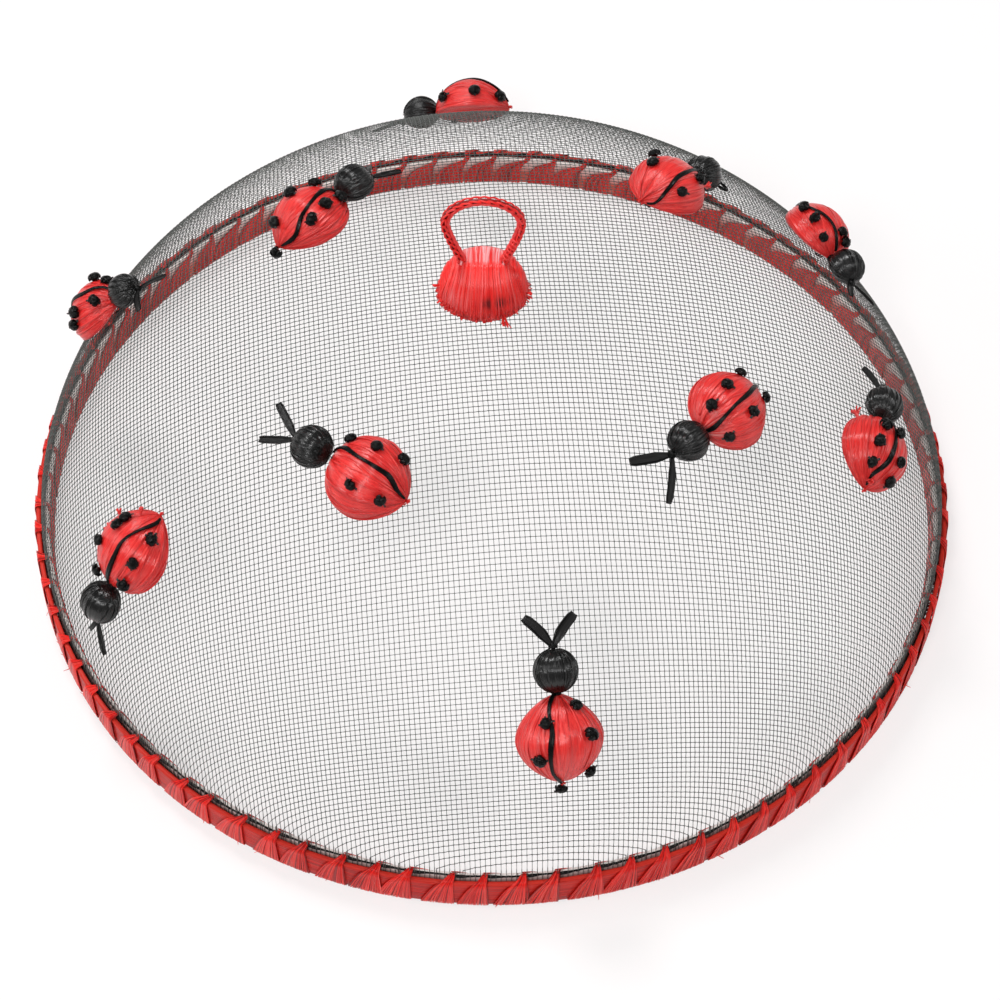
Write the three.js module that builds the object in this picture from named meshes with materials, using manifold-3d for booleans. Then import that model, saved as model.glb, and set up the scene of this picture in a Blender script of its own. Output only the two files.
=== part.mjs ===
// Food cover: a low dome of screen cloth held between two bamboo hoops that are whipped with raffia, a wound
// knob with a crocheted loop at the top, and ten wound ladybirds sewn on round it.
// Millimetres, +Z up. The origin is the centre of the rim's underside, and the front of the cover faces -Y.
import * as THREE from "three";
import { mergeVertices } from "three/addons/utils/BufferGeometryUtils.js";
import Module from "manifold-3d";

const wasm = await Module();
wasm.setup();
const { CrossSection } = wasm;

// Rim
const rimRadius = 150;
const rimHeight = 13.2;
const bindingThickness = 0.4;
const hoopThickness = 1.5;
const fanCount = 84;
const fanValleyShare = 0.4;
const ringSteps = 60;

// Dome
const apexHeight = 105;
const netThickness = 0.6;
const crownShare = 2.06;
const shoulderShare = 0.58;
const hemRadius = 0.65;

// The cloth's mesh stands as a coarse grid of openings, in sizes of the cloth laid out flat
const openingsAcross = 12;
const barWidth = 8;
const borderWidth = 12;
const narrowestOpening = 5;
const patchSides = 10;
const clothFacet = 30;

// Every piece keeps this much room to the one that it is tied to
const seatGap = 0.3;

// Knob and loop
const knobHalfWidth = 13.6;
const knobHalfDepth = 11.7;
const knobHeight = 14;
const knobRoundnessShare = 2.4;
const knobOffsetX = -3;
const knobOffsetY = 3;
const tieHalfWidth = 5;
const tieHalfDepth = 3.5;
const tieHalfThickness = 0.8;
const loopHalfWidth = 11.2;
const loopWidestHeight = 14.6;
const loopCrownRise = 10.4;
const loopCordRadius = 1.45;
const loopFootSpread = 12.6;
const loopFlareShare = 1.3;
const loopLean = THREE.MathUtils.degToRad(2);

// Ladybirds: sizes of one whose size share is 1
const bodyHalfLength = 12.6;
const bodyHalfWidth = 12.2;
const bodyRise = 10.6;
const bodyDrop = 2;
const headRadius = 6.2;
const headDrop = 4.6;
const lineRadius = 0.55;
const lineFrontShare = 0.85;
const threadRadius = 0.35;
const spotLength = 3.8;
const spotWidth = 3;
const spotHeight = 2.4;
const antennaLength = 12;
const antennaWidth = 2.8;
const antennaBaseWidth = 1.6;
const antennaThickness = 0.6;
const antennaHeight = 3.5;

// Where each ladybird is sewn: x and y as shares of the rim's radius, its heading in degrees from +X, its size
// as a share, the roll of its back in degrees, and its antennae as pairs of an angle off its nose and a length
// share
const ladybirdShares = [
  { x: -0.053, y: 0.92, heading: 154, size: 1.04, roll: 0, antennae: [[28, 1], [-30, 0.9]] },
  { x: -0.38, y: 0.249, heading: 43, size: 1.02, roll: -20, antennae: [[-25, 1], [53, 0.85]] },
  { x: -0.841, y: 0.253, heading: 342, size: 0.92, roll: 4, antennae: [[18, 1], [-48, 1]] },
  { x: 0.357, y: 0.371, heading: 46, size: 1.01, roll: -27, antennae: [[27, 0.9], [-35, 1]] },
  { x: 0.69, y: 0.425, heading: 287, size: 0.98, roll: -38, antennae: [[26, 0.95], [-30, 0.9]] },
  { x: 0.764, y: -0.188, heading: 81, size: 1, roll: 0, antennae: [[50, 0.85], [-12, 0.4]] },
  { x: -0.232, y: -0.403, heading: 146, size: 1.04, roll: -16, antennae: [[30, 1.15], [-26, 1.2]] },
  { x: 0.463, y: -0.212, heading: 224, size: 1.01, roll: 4, antennae: [[46, 1.2], [-33, 1]] },
  { x: -0.695, y: -0.422, heading: 217, size: 1.05, roll: 6, antennae: [[52, 0.95], [-14, 0.4]] },
  { x: 0.135, y: -0.827, heading: 98, size: 1.05, roll: 16, antennae: [[36, 0.95], [-38, 0.95]] },
];

// The knotted spots of one ladybird: a share of the body's half length, forward positive, and degrees off the
// line
const spotShares = [
  [0.6, 38],
  [0.6, -36],
  [0.05, 40],
  [0.05, -42],
  [-0.52, 34],
  [-0.52, -38],
];

// Worked out from the sizes above
const hoopBottom = bindingThickness + seatGap;
const hoopTop = rimHeight - bindingThickness - seatGap;
const outerHoopRadius = rimRadius - bindingThickness - seatGap;
const netRadius = outerHoopRadius - hoopThickness - seatGap;
const innerHoopRadius = netRadius - netThickness - seatGap;
const bindingInnerRadius = innerHoopRadius - hoopThickness - seatGap - bindingThickness;
const domeSpring = rimHeight;
const flatRadius = (netRadius * Math.PI) / 2;
const degrees = THREE.MathUtils.degToRad;

const finishes = {
  screen: { color: 0x2f3330, roughness: 0.6, metalness: 0 },
  bamboo: { color: 0xd9744f, roughness: 0.5, metalness: 0 },
  red_raffia: { color: 0xd8302a, roughness: 0.35, metalness: 0 },
  black_raffia: { color: 0x17171a, roughness: 0.35, metalness: 0 },
};

function finished(name, geometry, finish) {
  const mesh = new THREE.Mesh(geometry, new THREE.MeshStandardMaterial(finishes[finish]));
  mesh.name = name;
  return mesh;
}

// A closed geometry as a solid that can be joined and cut, and back again
function toSolid(geometry) {
  const bare = geometry.index ? geometry.toNonIndexed() : geometry.clone();
  bare.deleteAttribute("normal");
  bare.deleteAttribute("uv");
  const merged = mergeVertices(bare);
  return new wasm.Manifold(
    new wasm.Mesh({
      numProp: 3,
      vertProperties: merged.attributes.position.array,
      triVerts: new Uint32Array(merged.index.array),
    }),
  );
}

function toGeometry(solid) {
  const mesh = solid.getMesh();
  const geometry = new THREE.BufferGeometry();
  geometry.setAttribute("position", new THREE.BufferAttribute(mesh.vertProperties, mesh.numProp));
  geometry.setIndex(new THREE.BufferAttribute(mesh.triVerts, 1));
  geometry.computeVertexNormals();
  return geometry;
}

// A closed skin over rings of points: each ring joins the next one, and single points close both ends.
// Without end points the last ring joins the first.
function ringsGeometry(rings, startPoint, endPoint) {
  const points = rings.flat();
  const around = rings[0].length;
  const faces = [];
  const closed = !startPoint;
  const bands = closed ? rings.length : rings.length - 1;
  for (let ring = 0; ring < bands; ring += 1) {
    for (let k = 0; k < around; k += 1) {
      const next = (k + 1) % around;
      const here = ring * around;
      const there = ((ring + 1) % rings.length) * around;
      faces.push(here + k, there + k, there + next, here + k, there + next, here + next);
    }
  }
  if (!closed) {
    const start = points.push(startPoint) - 1;
    const end = points.push(endPoint) - 1;
    const last = (rings.length - 1) * around;
    for (let k = 0; k < around; k += 1) {
      const next = (k + 1) % around;
      faces.push(start, k, next, end, last + next, last + k);
    }
  }
  const geometry = new THREE.BufferGeometry().setFromPoints(points);
  geometry.setIndex(faces);
  geometry.computeVertexNormals();
  return geometry;
}

// Height of the dome's outside over a point at this distance from its axis
function domeHeight(distance) {
  const share = Math.min(distance / netRadius, 1);
  return domeSpring + (apexHeight - domeSpring) * (1 - share ** crownShare) ** shoulderShare;
}

function domeNormal(x, y) {
  const distance = Math.max(Math.hypot(x, y), netRadius * Number.EPSILON);
  const share = distance / netRadius;
  const slope =
    ((apexHeight - domeSpring) * shoulderShare * crownShare * share ** (crownShare - 1) *
      (1 - share ** crownShare) ** (shoulderShare - 1)) / netRadius;
  return new THREE.Vector3((slope * x) / distance, (slope * y) / distance, 1).normalize();
}

// Frame of a piece that is sewn to the dome: its z stands off the cloth and its x points along the heading
function seatOnDome(x, y, heading) {
  const up = domeNormal(x, y);
  const forward = new THREE.Vector3(Math.cos(heading), Math.sin(heading), 0);
  forward.addScaledVector(up, -forward.dot(up)).normalize();
  const side = new THREE.Vector3().crossVectors(up, forward);
  const foot = new THREE.Vector3(x, y, domeHeight(Math.hypot(x, y)));
  return new THREE.Matrix4().makeBasis(forward, side, up).setPosition(foot);
}

// Where a place on the dome lies when the cloth is laid out flat
function layFlat(x, y) {
  const distance = Math.max(Math.hypot(x, y), netRadius * Number.EPSILON);
  const reach = netRadius * Math.asin(distance / netRadius);
  return [(x / distance) * reach, (y / distance) * reach];
}

// Points this near the flat cloth's edge count as on it
const edgeShare = 1 - 1e-6;

// Bends a point of the flat cloth over the dome, or down between the hoops where it lies past the dome's edge
function bendOver(point) {
  const reach = Math.max(Math.hypot(point[0], point[1]), netRadius * Number.EPSILON);
  const onDome = reach < flatRadius * edgeShare;
  const out = [point[0] / reach, point[1] / reach];
  const distance = onDome ? netRadius * Math.sin(reach / netRadius) : netRadius;
  const height = onDome ? domeHeight(distance) : domeSpring - (reach - flatRadius);
  const normal = onDome ? domeNormal(distance, 0) : new THREE.Vector3(1, 0, 0);
  const depth = netThickness - point[2];
  const inward = distance - normal.x * depth;
  point[0] = out[0] * inward;
  point[1] = out[1] * inward;
  point[2] = height - normal.z * depth;
}

// Cloth under one sewn ladybird, as a flat outline
function clothUnder(share) {
  const x = share.x * rimRadius;
  const y = share.y * rimRadius;
  const headSeat = seatOfHead(x, y, degrees(share.heading), share.size);
  const headFoot = new THREE.Vector3().setFromMatrixPosition(headSeat);
  return CrossSection.hull([
    CrossSection.circle(bodyHalfWidth * share.size, patchSides).translate(layFlat(x, y)),
    CrossSection.circle(headRadius * share.size, patchSides).translate(layFlat(headFoot.x, headFoot.y)),
  ]);
}

// The openings that stand for the mesh: a plain square grid inside the border, none under a sewn piece
function meshOpenings() {
  const border = flatRadius - borderWidth;
  const pitch = (2 * border) / openingsAcross;
  const cells = [];
  for (let row = 0; row < openingsAcross; row += 1) {
    for (let column = 0; column < openingsAcross; column += 1) {
      const place = [column, row].map((count) => (count + 1 / 2 - openingsAcross / 2) * pitch);
      cells.push(CrossSection.square([pitch - barWidth, pitch - barWidth], true).translate(place));
    }
  }
  const knobFoot = CrossSection.circle(knobHalfWidth, patchSides).translate(layFlat(knobOffsetX, knobOffsetY));
  return CrossSection.union(cells)
    .intersect(CrossSection.circle(border, ringSteps))
    .subtract(CrossSection.union([knobFoot, ...ladybirdShares.map(clothUnder)]))
    .offset(-narrowestOpening / 2, "Miter")
    .offset(narrowestOpening / 2, "Miter");
}

// Screen cloth: a thin dome whose edge runs straight down between the hoops. It is cut out flat, then bent.
function netGeometry() {
  const dome = CrossSection.circle(flatRadius, ringSteps);
  const skirt = CrossSection.circle(flatRadius + domeSpring - hoopBottom, ringSteps).subtract(dome);
  const flat = dome.subtract(meshOpenings()).extrude(netThickness).add(skirt.extrude(netThickness));
  return toGeometry(flat.refineToLength(clothFacet).warp(bendOver));
}

// A hoop of flat strip
function hoopGeometry(outerRadius) {
  const inner = outerRadius - hoopThickness;
  const profile = [
    new THREE.Vector2(outerRadius, hoopBottom),
    new THREE.Vector2(outerRadius, hoopTop),
    new THREE.Vector2(inner, hoopTop),
    new THREE.Vector2(inner, hoopBottom),
    new THREE.Vector2(outerRadius, hoopBottom),
  ];
  return new THREE.LatheGeometry(profile, ringSteps).rotateX(Math.PI / 2);
}

// The raw edge of the cloth, turned in and rolled along the top of the inner hoop
function hemGeometry() {
  const radius = netRadius - netThickness - seatGap - hemRadius;
  const height = hoopTop + seatGap + hemRadius;
  return new THREE.TorusGeometry(radius, hemRadius, 4, ringSteps).translate(0, 0, height);
}

// Raffia whipping: a channel round both hoops whose two walls rise to a point at each fan of strands
function bindingGeometry() {
  const sections = fanCount * 2;
  const rings = [];
  for (let section = 0; section < sections; section += 1) {
    const angle = (section / sections) * 2 * Math.PI;
    const top = section % 2 === 0 ? rimHeight : rimHeight * fanValleyShare;
    const outline = [
      [rimRadius, 0],
      [rimRadius, top],
      [rimRadius - bindingThickness, top],
      [rimRadius - bindingThickness, bindingThickness],
      [bindingInnerRadius + bindingThickness, bindingThickness],
      [bindingInnerRadius + bindingThickness, top],
      [bindingInnerRadius, top],
      [bindingInnerRadius, 0],
    ];
    rings.push(
      outline.map(([r, z]) => new THREE.Vector3(r * Math.cos(angle), r * Math.sin(angle), z)),
    );
  }
  return ringsGeometry(rings);
}

// Raffia knob: a mound of strands folded over its top, flat where it is sewn to the cloth
const knobAround = 16;
const knobRings = 7;

function knobShareAt(heightShare) {
  return (1 - heightShare ** knobRoundnessShare) ** (1 / knobRoundnessShare);
}

function knobGeometry() {
  const rings = [];
  for (let ring = 0; ring < knobRings; ring += 1) {
    const heightShare = Math.sin(((ring / knobRings) * Math.PI) / 2);
    const wide = knobShareAt(heightShare);
    const points = [];
    for (let k = 0; k < knobAround; k += 1) {
      const angle = (k / knobAround) * 2 * Math.PI;
      const x = knobHalfWidth * wide * Math.cos(angle);
      const y = knobHalfDepth * wide * Math.sin(angle);
      points.push(new THREE.Vector3(x, y, knobHeight * heightShare));
    }
    rings.push(points);
  }
  const base = new THREE.Vector3(0, 0, 0);
  const top = new THREE.Vector3(0, 0, knobHeight);
  return ringsGeometry(rings.reverse(), top, base);
}

// Stitches inside the dome that hold the knob
function tieGeometry() {
  return new THREE.SphereGeometry(1, 10, 6).scale(tieHalfWidth, tieHalfDepth, tieHalfThickness);
}

// Crocheted loop, standing on two sewn feet; its hinge is the line through the centres of the feet. Its sides
// flare out from the feet and an oval crown closes it.
const loopSidePoints = 4;
const loopArcPoints = 8;
const loopSteps = 24;

function loopLine() {
  const footX = loopFootSpread / 2;
  const side = [];
  for (let k = 0; k < loopSidePoints; k += 1) {
    const heightShare = k / loopSidePoints;
    const drawnIn = (loopHalfWidth - footX) * (1 - heightShare) ** loopFlareShare;
    side.push(new THREE.Vector3(loopHalfWidth - drawnIn, 0, loopWidestHeight * heightShare));
  }
  const crown = [];
  for (let k = 0; k <= loopArcPoints; k += 1) {
    const angle = (1 - k / loopArcPoints) * Math.PI;
    const height = loopWidestHeight + loopCrownRise * Math.sin(angle);
    crown.push(new THREE.Vector3(loopHalfWidth * Math.cos(angle), 0, height));
  }
  const left = side.map((point) => new THREE.Vector3(-point.x, 0, point.z));
  return new THREE.CatmullRomCurve3([...left, ...crown, ...side.reverse()]);
}

function loopGeometry() {
  const section = new THREE.Shape().absarc(0, 0, loopCordRadius, 0, 2 * Math.PI);
  const cord = new THREE.ExtrudeGeometry(section, {
    extrudePath: loopLine(),
    steps: loopSteps,
    curveSegments: 3,
  });
  let solid = toSolid(cord);
  for (const x of [-loopFootSpread / 2, loopFootSpread / 2]) {
    solid = solid.add(toSolid(new THREE.SphereGeometry(loopCordRadius, 8, 5).translate(x, 0, 0)));
  }
  return toGeometry(solid);
}

// A point of a ladybird's skin, from 1 at the neck to -1 at the tail and at an angle off the top. The neck is
// round and the tail is drawn in to a point.
const neckRoundnessShare = 2.2;
const neckFullnessShare = 0.5;
const tailPinchShare = 1.6;
const tailFullnessShare = 0.8;
const bodyAround = 12;
const bodyRings = 8;

function bodyPoint(alongShare, angle, size) {
  const wide =
    alongShare > 0
      ? (1 - alongShare ** neckRoundnessShare) ** neckFullnessShare
      : (1 - (-alongShare) ** tailPinchShare) ** tailFullnessShare;
  const rise = Math.cos(angle) > 0 ? bodyRise : bodyDrop;
  return new THREE.Vector3(
    bodyHalfLength * alongShare,
    bodyHalfWidth * wide * Math.sin(angle),
    rise * wide * Math.cos(angle),
  ).multiplyScalar(size);
}

function bodyNormal(alongShare, angle, size) {
  if (Math.abs(alongShare) === 1) {
    return new THREE.Vector3(alongShare, 0, 0);
  }
  const nudge = 1e-3;
  const along = bodyPoint(alongShare + nudge, angle, size).sub(bodyPoint(alongShare - nudge, angle, size));
  const across = bodyPoint(alongShare, angle + nudge, size).sub(bodyPoint(alongShare, angle - nudge, size));
  return new THREE.Vector3().crossVectors(across, along).negate().normalize();
}

function bodySkin(size) {
  const rings = [];
  for (let ring = 1; ring < bodyRings; ring += 1) {
    const alongShare = Math.cos((ring / bodyRings) * Math.PI);
    const points = [];
    for (let k = 0; k < bodyAround; k += 1) {
      points.push(bodyPoint(alongShare, (-k / bodyAround) * 2 * Math.PI, size));
    }
    rings.push(points);
  }
  return ringsGeometry(rings, bodyPoint(1, 0, size), bodyPoint(-1, 0, size));
}

// A thin straight thread between two points
function threadSolid(from, to, radius) {
  const along = new THREE.Vector3().subVectors(to, from);
  const rod = new THREE.CylinderGeometry(radius, radius, along.length(), 3);
  const turn = new THREE.Quaternion().setFromUnitVectors(new THREE.Vector3(0, 1, 0), along.normalize());
  rod.applyQuaternion(turn);
  rod.translate((from.x + to.x) / 2, (from.y + to.y) / 2, (from.z + to.z) / 2);
  return toSolid(rod);
}

// Where the thread comes out of a body: at the front end of the line, then at each knotted spot
function threadExits(size, roll) {
  const front = { alongShare: lineFrontShare, angle: degrees(roll), lift: seatGap + lineRadius };
  const spots = spotShares.map(([alongShare, offLine]) => ({
    alongShare,
    angle: degrees(offLine + roll),
    lift: seatGap + spotHeight / 2,
  }));
  return [front, ...spots].map(({ alongShare, angle, lift }) => {
    const skin = bodyPoint(alongShare, angle, size);
    const normal = bodyNormal(alongShare, angle, size);
    return { skin, normal, end: skin.clone().addScaledVector(normal, lift) };
  });
}

// The thread that runs through a body from under the line's front end to the tail, with a branch to each exit
function threadsInside(size, roll, radius) {
  const front = new THREE.Vector3(bodyHalfLength * lineFrontShare * size, 0, 0);
  const tail = new THREE.Vector3(-bodyHalfLength * size - seatGap - lineRadius, 0, 0);
  let threads = threadSolid(front, tail, radius);
  for (const { skin, end } of threadExits(size, roll)) {
    threads = threads.add(threadSolid(new THREE.Vector3(skin.x, 0, 0), end, radius));
  }
  return threads;
}

function bodyGeometry(size, roll) {
  return toGeometry(toSolid(bodySkin(size)).subtract(threadsInside(size, roll, threadRadius + seatGap)));
}

// Black stitching: the line along the back, the spots and the thread that ties them
const linePointCount = 8;
const lineSteps = 8;

function stitchingGeometry(size, roll) {
  const line = [];
  const front = Math.acos(lineFrontShare);
  for (let k = 0; k <= linePointCount; k += 1) {
    const alongShare = Math.cos(front + (k / linePointCount) * (Math.PI - front));
    const angle = degrees(roll);
    const lift = bodyNormal(alongShare, angle, size).multiplyScalar(seatGap + lineRadius);
    line.push(bodyPoint(alongShare, angle, size).add(lift));
  }
  const section = new THREE.Shape().absarc(0, 0, lineRadius, 0, 2 * Math.PI);
  const cord = new THREE.ExtrudeGeometry(section, {
    extrudePath: new THREE.CatmullRomCurve3(line),
    steps: lineSteps,
    curveSegments: 2,
  });
  let solid = toSolid(cord).add(threadsInside(size, roll, threadRadius));
  for (const { normal, end } of threadExits(size, roll).slice(1)) {
    const knot = new THREE.OctahedronGeometry(1 / 2, 0).scale(spotLength, spotWidth, spotHeight);
    knot.applyQuaternion(new THREE.Quaternion().setFromUnitVectors(new THREE.Vector3(0, 0, 1), normal));
    solid = solid.add(toSolid(knot.translate(end.x, end.y, end.z)));
  }
  return toGeometry(solid);
}

// A head is a ball that is pressed flatter where it sits on the cloth
function headGeometry(size) {
  const ball = new THREE.SphereGeometry(headRadius, 10, 7);
  const places = ball.attributes.position;
  for (let k = 0; k < places.count; k += 1) {
    const height = places.getZ(k);
    places.setZ(k, height < 0 ? (height * headDrop) / headRadius : height);
  }
  return ball.scale(size, size, size);
}

// Flat raffia strip tied at the middle, whose two ends stand off the nose as antennae
function antennaeGeometry(pairs) {
  const arms = [...pairs].sort((a, b) => b[0] - a[0]);
  const outline = new THREE.Shape();
  const [left, right] = arms.map(([angle, lengthShare]) => ({
    along: new THREE.Vector2(Math.cos(degrees(angle)), Math.sin(degrees(angle))),
    across: new THREE.Vector2(-Math.sin(degrees(angle)), Math.cos(degrees(angle))),
    length: antennaLength * lengthShare,
  }));
  const corner = (arm, along, across) =>
    arm.along.clone().multiplyScalar(along).addScaledVector(arm.across, across);
  const crotch = left.along.clone().add(right.along).normalize();
  const spread = degrees(arms[0][0] - arms[1][0]) / 2;
  const points = [
    corner(right, 0, -antennaBaseWidth / 2),
    corner(right, right.length, -antennaWidth / 2),
    corner(right, right.length, antennaWidth / 2),
    crotch.multiplyScalar(antennaWidth / 2 / Math.sin(spread)),
    corner(left, left.length, -antennaWidth / 2),
    corner(left, left.length, antennaWidth / 2),
    corner(left, 0, antennaBaseWidth / 2),
  ];
  outline.setFromPoints(points);
  return new THREE.ExtrudeGeometry(outline, { depth: antennaThickness, bevelEnabled: false });
}

// Frame of a head: seated on the dome close in front of its body
const neckRounds = 8;

function seatOfHead(x, y, heading, size) {
  const bodySeat = seatOnDome(x, y, heading);
  const centreHeight = headDrop * size + seatGap;
  const neck = new THREE.Vector3(bodyHalfLength * size, 0, centreHeight).applyMatrix4(bodySeat);
  const wanted = headRadius * size + 2 * seatGap;
  let reach = bodyHalfLength * size + wanted;
  let seat = bodySeat;
  for (let round = 0; round < neckRounds; round += 1) {
    const foot = new THREE.Vector3(reach, 0, 0).applyMatrix4(bodySeat);
    seat = seatOnDome(foot.x, foot.y, heading);
    const centre = new THREE.Vector3(0, 0, centreHeight).applyMatrix4(seat);
    reach += wanted - centre.distanceTo(neck);
  }
  return seat;
}

const foodCover = new THREE.Group();

const binding = finished("rim_binding", bindingGeometry(), "red_raffia");
const outerHoop = finished("outer_hoop", hoopGeometry(outerHoopRadius), "bamboo");
const innerHoop = finished("inner_hoop", hoopGeometry(innerHoopRadius), "bamboo");
const net = finished("net", netGeometry(), "screen");
const hem = finished("net_hem", hemGeometry(), "screen");
foodCover.add(binding, outerHoop, innerHoop, net, hem);

// Knob, loop and tie at the top
const knobGroup = new THREE.Group();
knobGroup.position.set(knobOffsetX, knobOffsetY, apexHeight + seatGap);
knobGroup.add(finished("knob", knobGeometry(), "red_raffia"));
const knobTopAtFoot = knobHeight * knobShareAt(loopFootSpread / 2 / knobHalfWidth);
const loop = finished("handle_loop", loopGeometry(), "red_raffia");
loop.position.z = knobTopAtFoot + seatGap + loopCordRadius;
loop.rotation.x = -loopLean;
knobGroup.add(loop);
const tie = finished("knob_tie", tieGeometry(), "red_raffia");
const clothInside = domeHeight(Math.hypot(knobOffsetX, knobOffsetY)) - netThickness;
tie.position.set(knobOffsetX, knobOffsetY, clothInside - 2 * seatGap - tieHalfThickness);
foodCover.add(knobGroup, tie);

ladybirdShares.forEach((share, index) => {
  const { size, roll } = share;
  const name = `ladybird_${String(index + 1).padStart(2, "0")}`;
  const heading = degrees(share.heading);
  const x = share.x * rimRadius;
  const y = share.y * rimRadius;

  const bodySeat = new THREE.Group();
  bodySeat.applyMatrix4(seatOnDome(x, y, heading));
  const body = finished(`${name}_body`, bodyGeometry(size, roll), "red_raffia");
  const stitching = finished(`${name}_stitching`, stitchingGeometry(size, roll), "black_raffia");
  body.position.z = bodyDrop * size + seatGap;
  stitching.position.z = body.position.z;
  bodySeat.add(body, stitching);

  const headSeat = new THREE.Group();
  headSeat.applyMatrix4(seatOfHead(x, y, heading, size));
  const head = finished(`${name}_head`, headGeometry(size), "black_raffia");
  head.position.z = headDrop * size + seatGap;
  const antennae = finished(`${name}_antennae`, antennaeGeometry(share.antennae), "black_raffia");
  antennae.position.set(headRadius * size + seatGap, 0, antennaHeight);
  headSeat.add(head, antennae);

  foodCover.add(bodySeat, headSeat);
});

export default foodCover;
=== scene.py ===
"""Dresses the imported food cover: a screen dome on a whipped bamboo rim, a wound knob, a loop and ladybirds.

Sizes are in millimetres until a piece is written out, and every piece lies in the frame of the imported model:
+Z up, the rim's underside at z = 0, and the front of the cover towards -Y.
"""

from __future__ import annotations

import logging
import math
from dataclasses import dataclass
from enum import Enum

import bpy
import numpy as np
from mathutils import Matrix, Vector

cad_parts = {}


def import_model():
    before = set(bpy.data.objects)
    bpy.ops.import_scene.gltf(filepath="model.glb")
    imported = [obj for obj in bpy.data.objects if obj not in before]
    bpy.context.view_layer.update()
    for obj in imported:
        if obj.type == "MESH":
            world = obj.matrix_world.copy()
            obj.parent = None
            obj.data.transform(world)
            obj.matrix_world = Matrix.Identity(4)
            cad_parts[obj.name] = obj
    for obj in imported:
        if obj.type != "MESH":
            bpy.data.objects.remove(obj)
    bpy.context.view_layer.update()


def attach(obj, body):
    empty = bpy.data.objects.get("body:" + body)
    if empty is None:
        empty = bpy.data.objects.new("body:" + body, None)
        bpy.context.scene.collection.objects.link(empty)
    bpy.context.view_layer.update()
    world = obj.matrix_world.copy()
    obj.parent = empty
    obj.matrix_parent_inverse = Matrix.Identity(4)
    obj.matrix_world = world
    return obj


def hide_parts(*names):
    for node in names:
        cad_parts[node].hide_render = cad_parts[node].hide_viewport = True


log = logging.getLogger("food_cover")

MILLIMETRE = 0.001
GRAIN = "grain"
SHADE = "shade"
RUN = "run"
COVER_BODY = "cover"
LOOP_BODY = "loop"
TURN = 2 * math.pi
UP = np.array([0.0, 0.0, 1.0])
AHEAD = np.array([1.0, 0.0, 0.0])
BACK = np.array([0.0, 1.0, 0.0])

Colour = tuple[float, float, float]
Array = np.ndarray
Values = float | Array
Chance = np.random.Generator
Material = bpy.types.Material
Piece = bpy.types.Object
Socket = bpy.types.NodeSocket


class Slot(Enum):
    """Material slots of the record."""

    SCREEN = "screen"
    BAMBOO = "bamboo"
    RED_RAFFIA = "red_raffia"
    BLACK_RAFFIA = "black_raffia"


# Geometry helpers


def unit(vectors: Array) -> Array:
    """Scales one vector, or a row for each, to length one."""
    length = np.linalg.norm(vectors, axis=-1, keepdims=True)
    return vectors / np.maximum(length, 1e-12)


def tangents(path: Array, closed: bool = False) -> Array:
    """Works out the direction of a path at each of its points.

    Args:
        path: Points in a row each.
        closed: Whether the last point joins the first.

    Returns:
        A direction of length one for each point.
    """
    if closed:
        return unit(np.roll(path, -1, axis=0) - np.roll(path, 1, axis=0))
    return unit(np.gradient(path, axis=0))


def smooth_path(knots: Array | list[Array], count: int) -> Array:
    """Draws a smooth line through a few points.

    Args:
        knots: Points that the line passes through.
        count: How many points the line gets.

    Returns:
        The points of the line.
    """
    knots = np.asarray(knots, float)
    padded = np.vstack([2 * knots[0] - knots[1], knots, 2 * knots[-1] - knots[-2]])
    where = np.linspace(0, len(knots) - 1, count)
    base = np.minimum(where.astype(int), len(knots) - 2)
    t = (where - base)[:, None]
    a, b, c, d = (padded[base + k] for k in range(4))
    bend = (2 * a - 5 * b + 4 * c - d) * t**2 + (3 * b - a - 3 * c + d) * t**3
    return 0.5 * (2 * b + (c - a) * t + bend)


def xyz(x: Values, y: Values, z: Values) -> Array:
    """Puts coordinates together to points, spread out to the shape that they share."""
    return np.stack(np.broadcast_arrays(x, y, z), axis=-1)


def outward(angle: Values) -> Array:
    """Gives the level direction at an angle from +X."""
    return xyz(np.cos(angle), np.sin(angle), 0.0)


def sideways(angle: Values) -> Array:
    """Gives the level direction a quarter turn on from an angle."""
    return xyz(-np.sin(angle), np.cos(angle), 0.0)


def bell(value: Values, width: float, power: int = 2) -> Array:
    """Gives a bump of height one about zero, falling off over a width."""
    return np.exp(-((np.asarray(value) / width) ** power))


def round_turn(count: int) -> Array:
    """Gives evenly spaced angles round a full turn."""
    return np.arange(count) / count * TURN


def between(at: Array, points: Array) -> Array:
    """Reads a row of points or directions at places between them, counted from zero."""
    return xyz(*(np.interp(at, np.arange(len(points)), axis) for axis in points.T))


def grid_faces(count: int, around: int, closed: bool = False) -> Array:
    """Numbers the four-sided faces between rings of points.

    Args:
        count: How many rings there are.
        around: How many points each has.
        closed: Whether the last ring joins the first.

    Returns:
        Rows of four point numbers.
    """
    here = np.arange(count if closed else count - 1)[:, None] * around
    there = (here + around) % (count * around)
    k = np.arange(around)
    following = (k + 1) % around
    return np.stack([here + k, here + following, there + following, there + k], axis=-1).reshape(-1, 4)


def any_strand(rng: Chance) -> float:
    """Draws the number that tells one strand's colour from its neighbours'."""
    return float(rng.uniform(0, 40))


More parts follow.
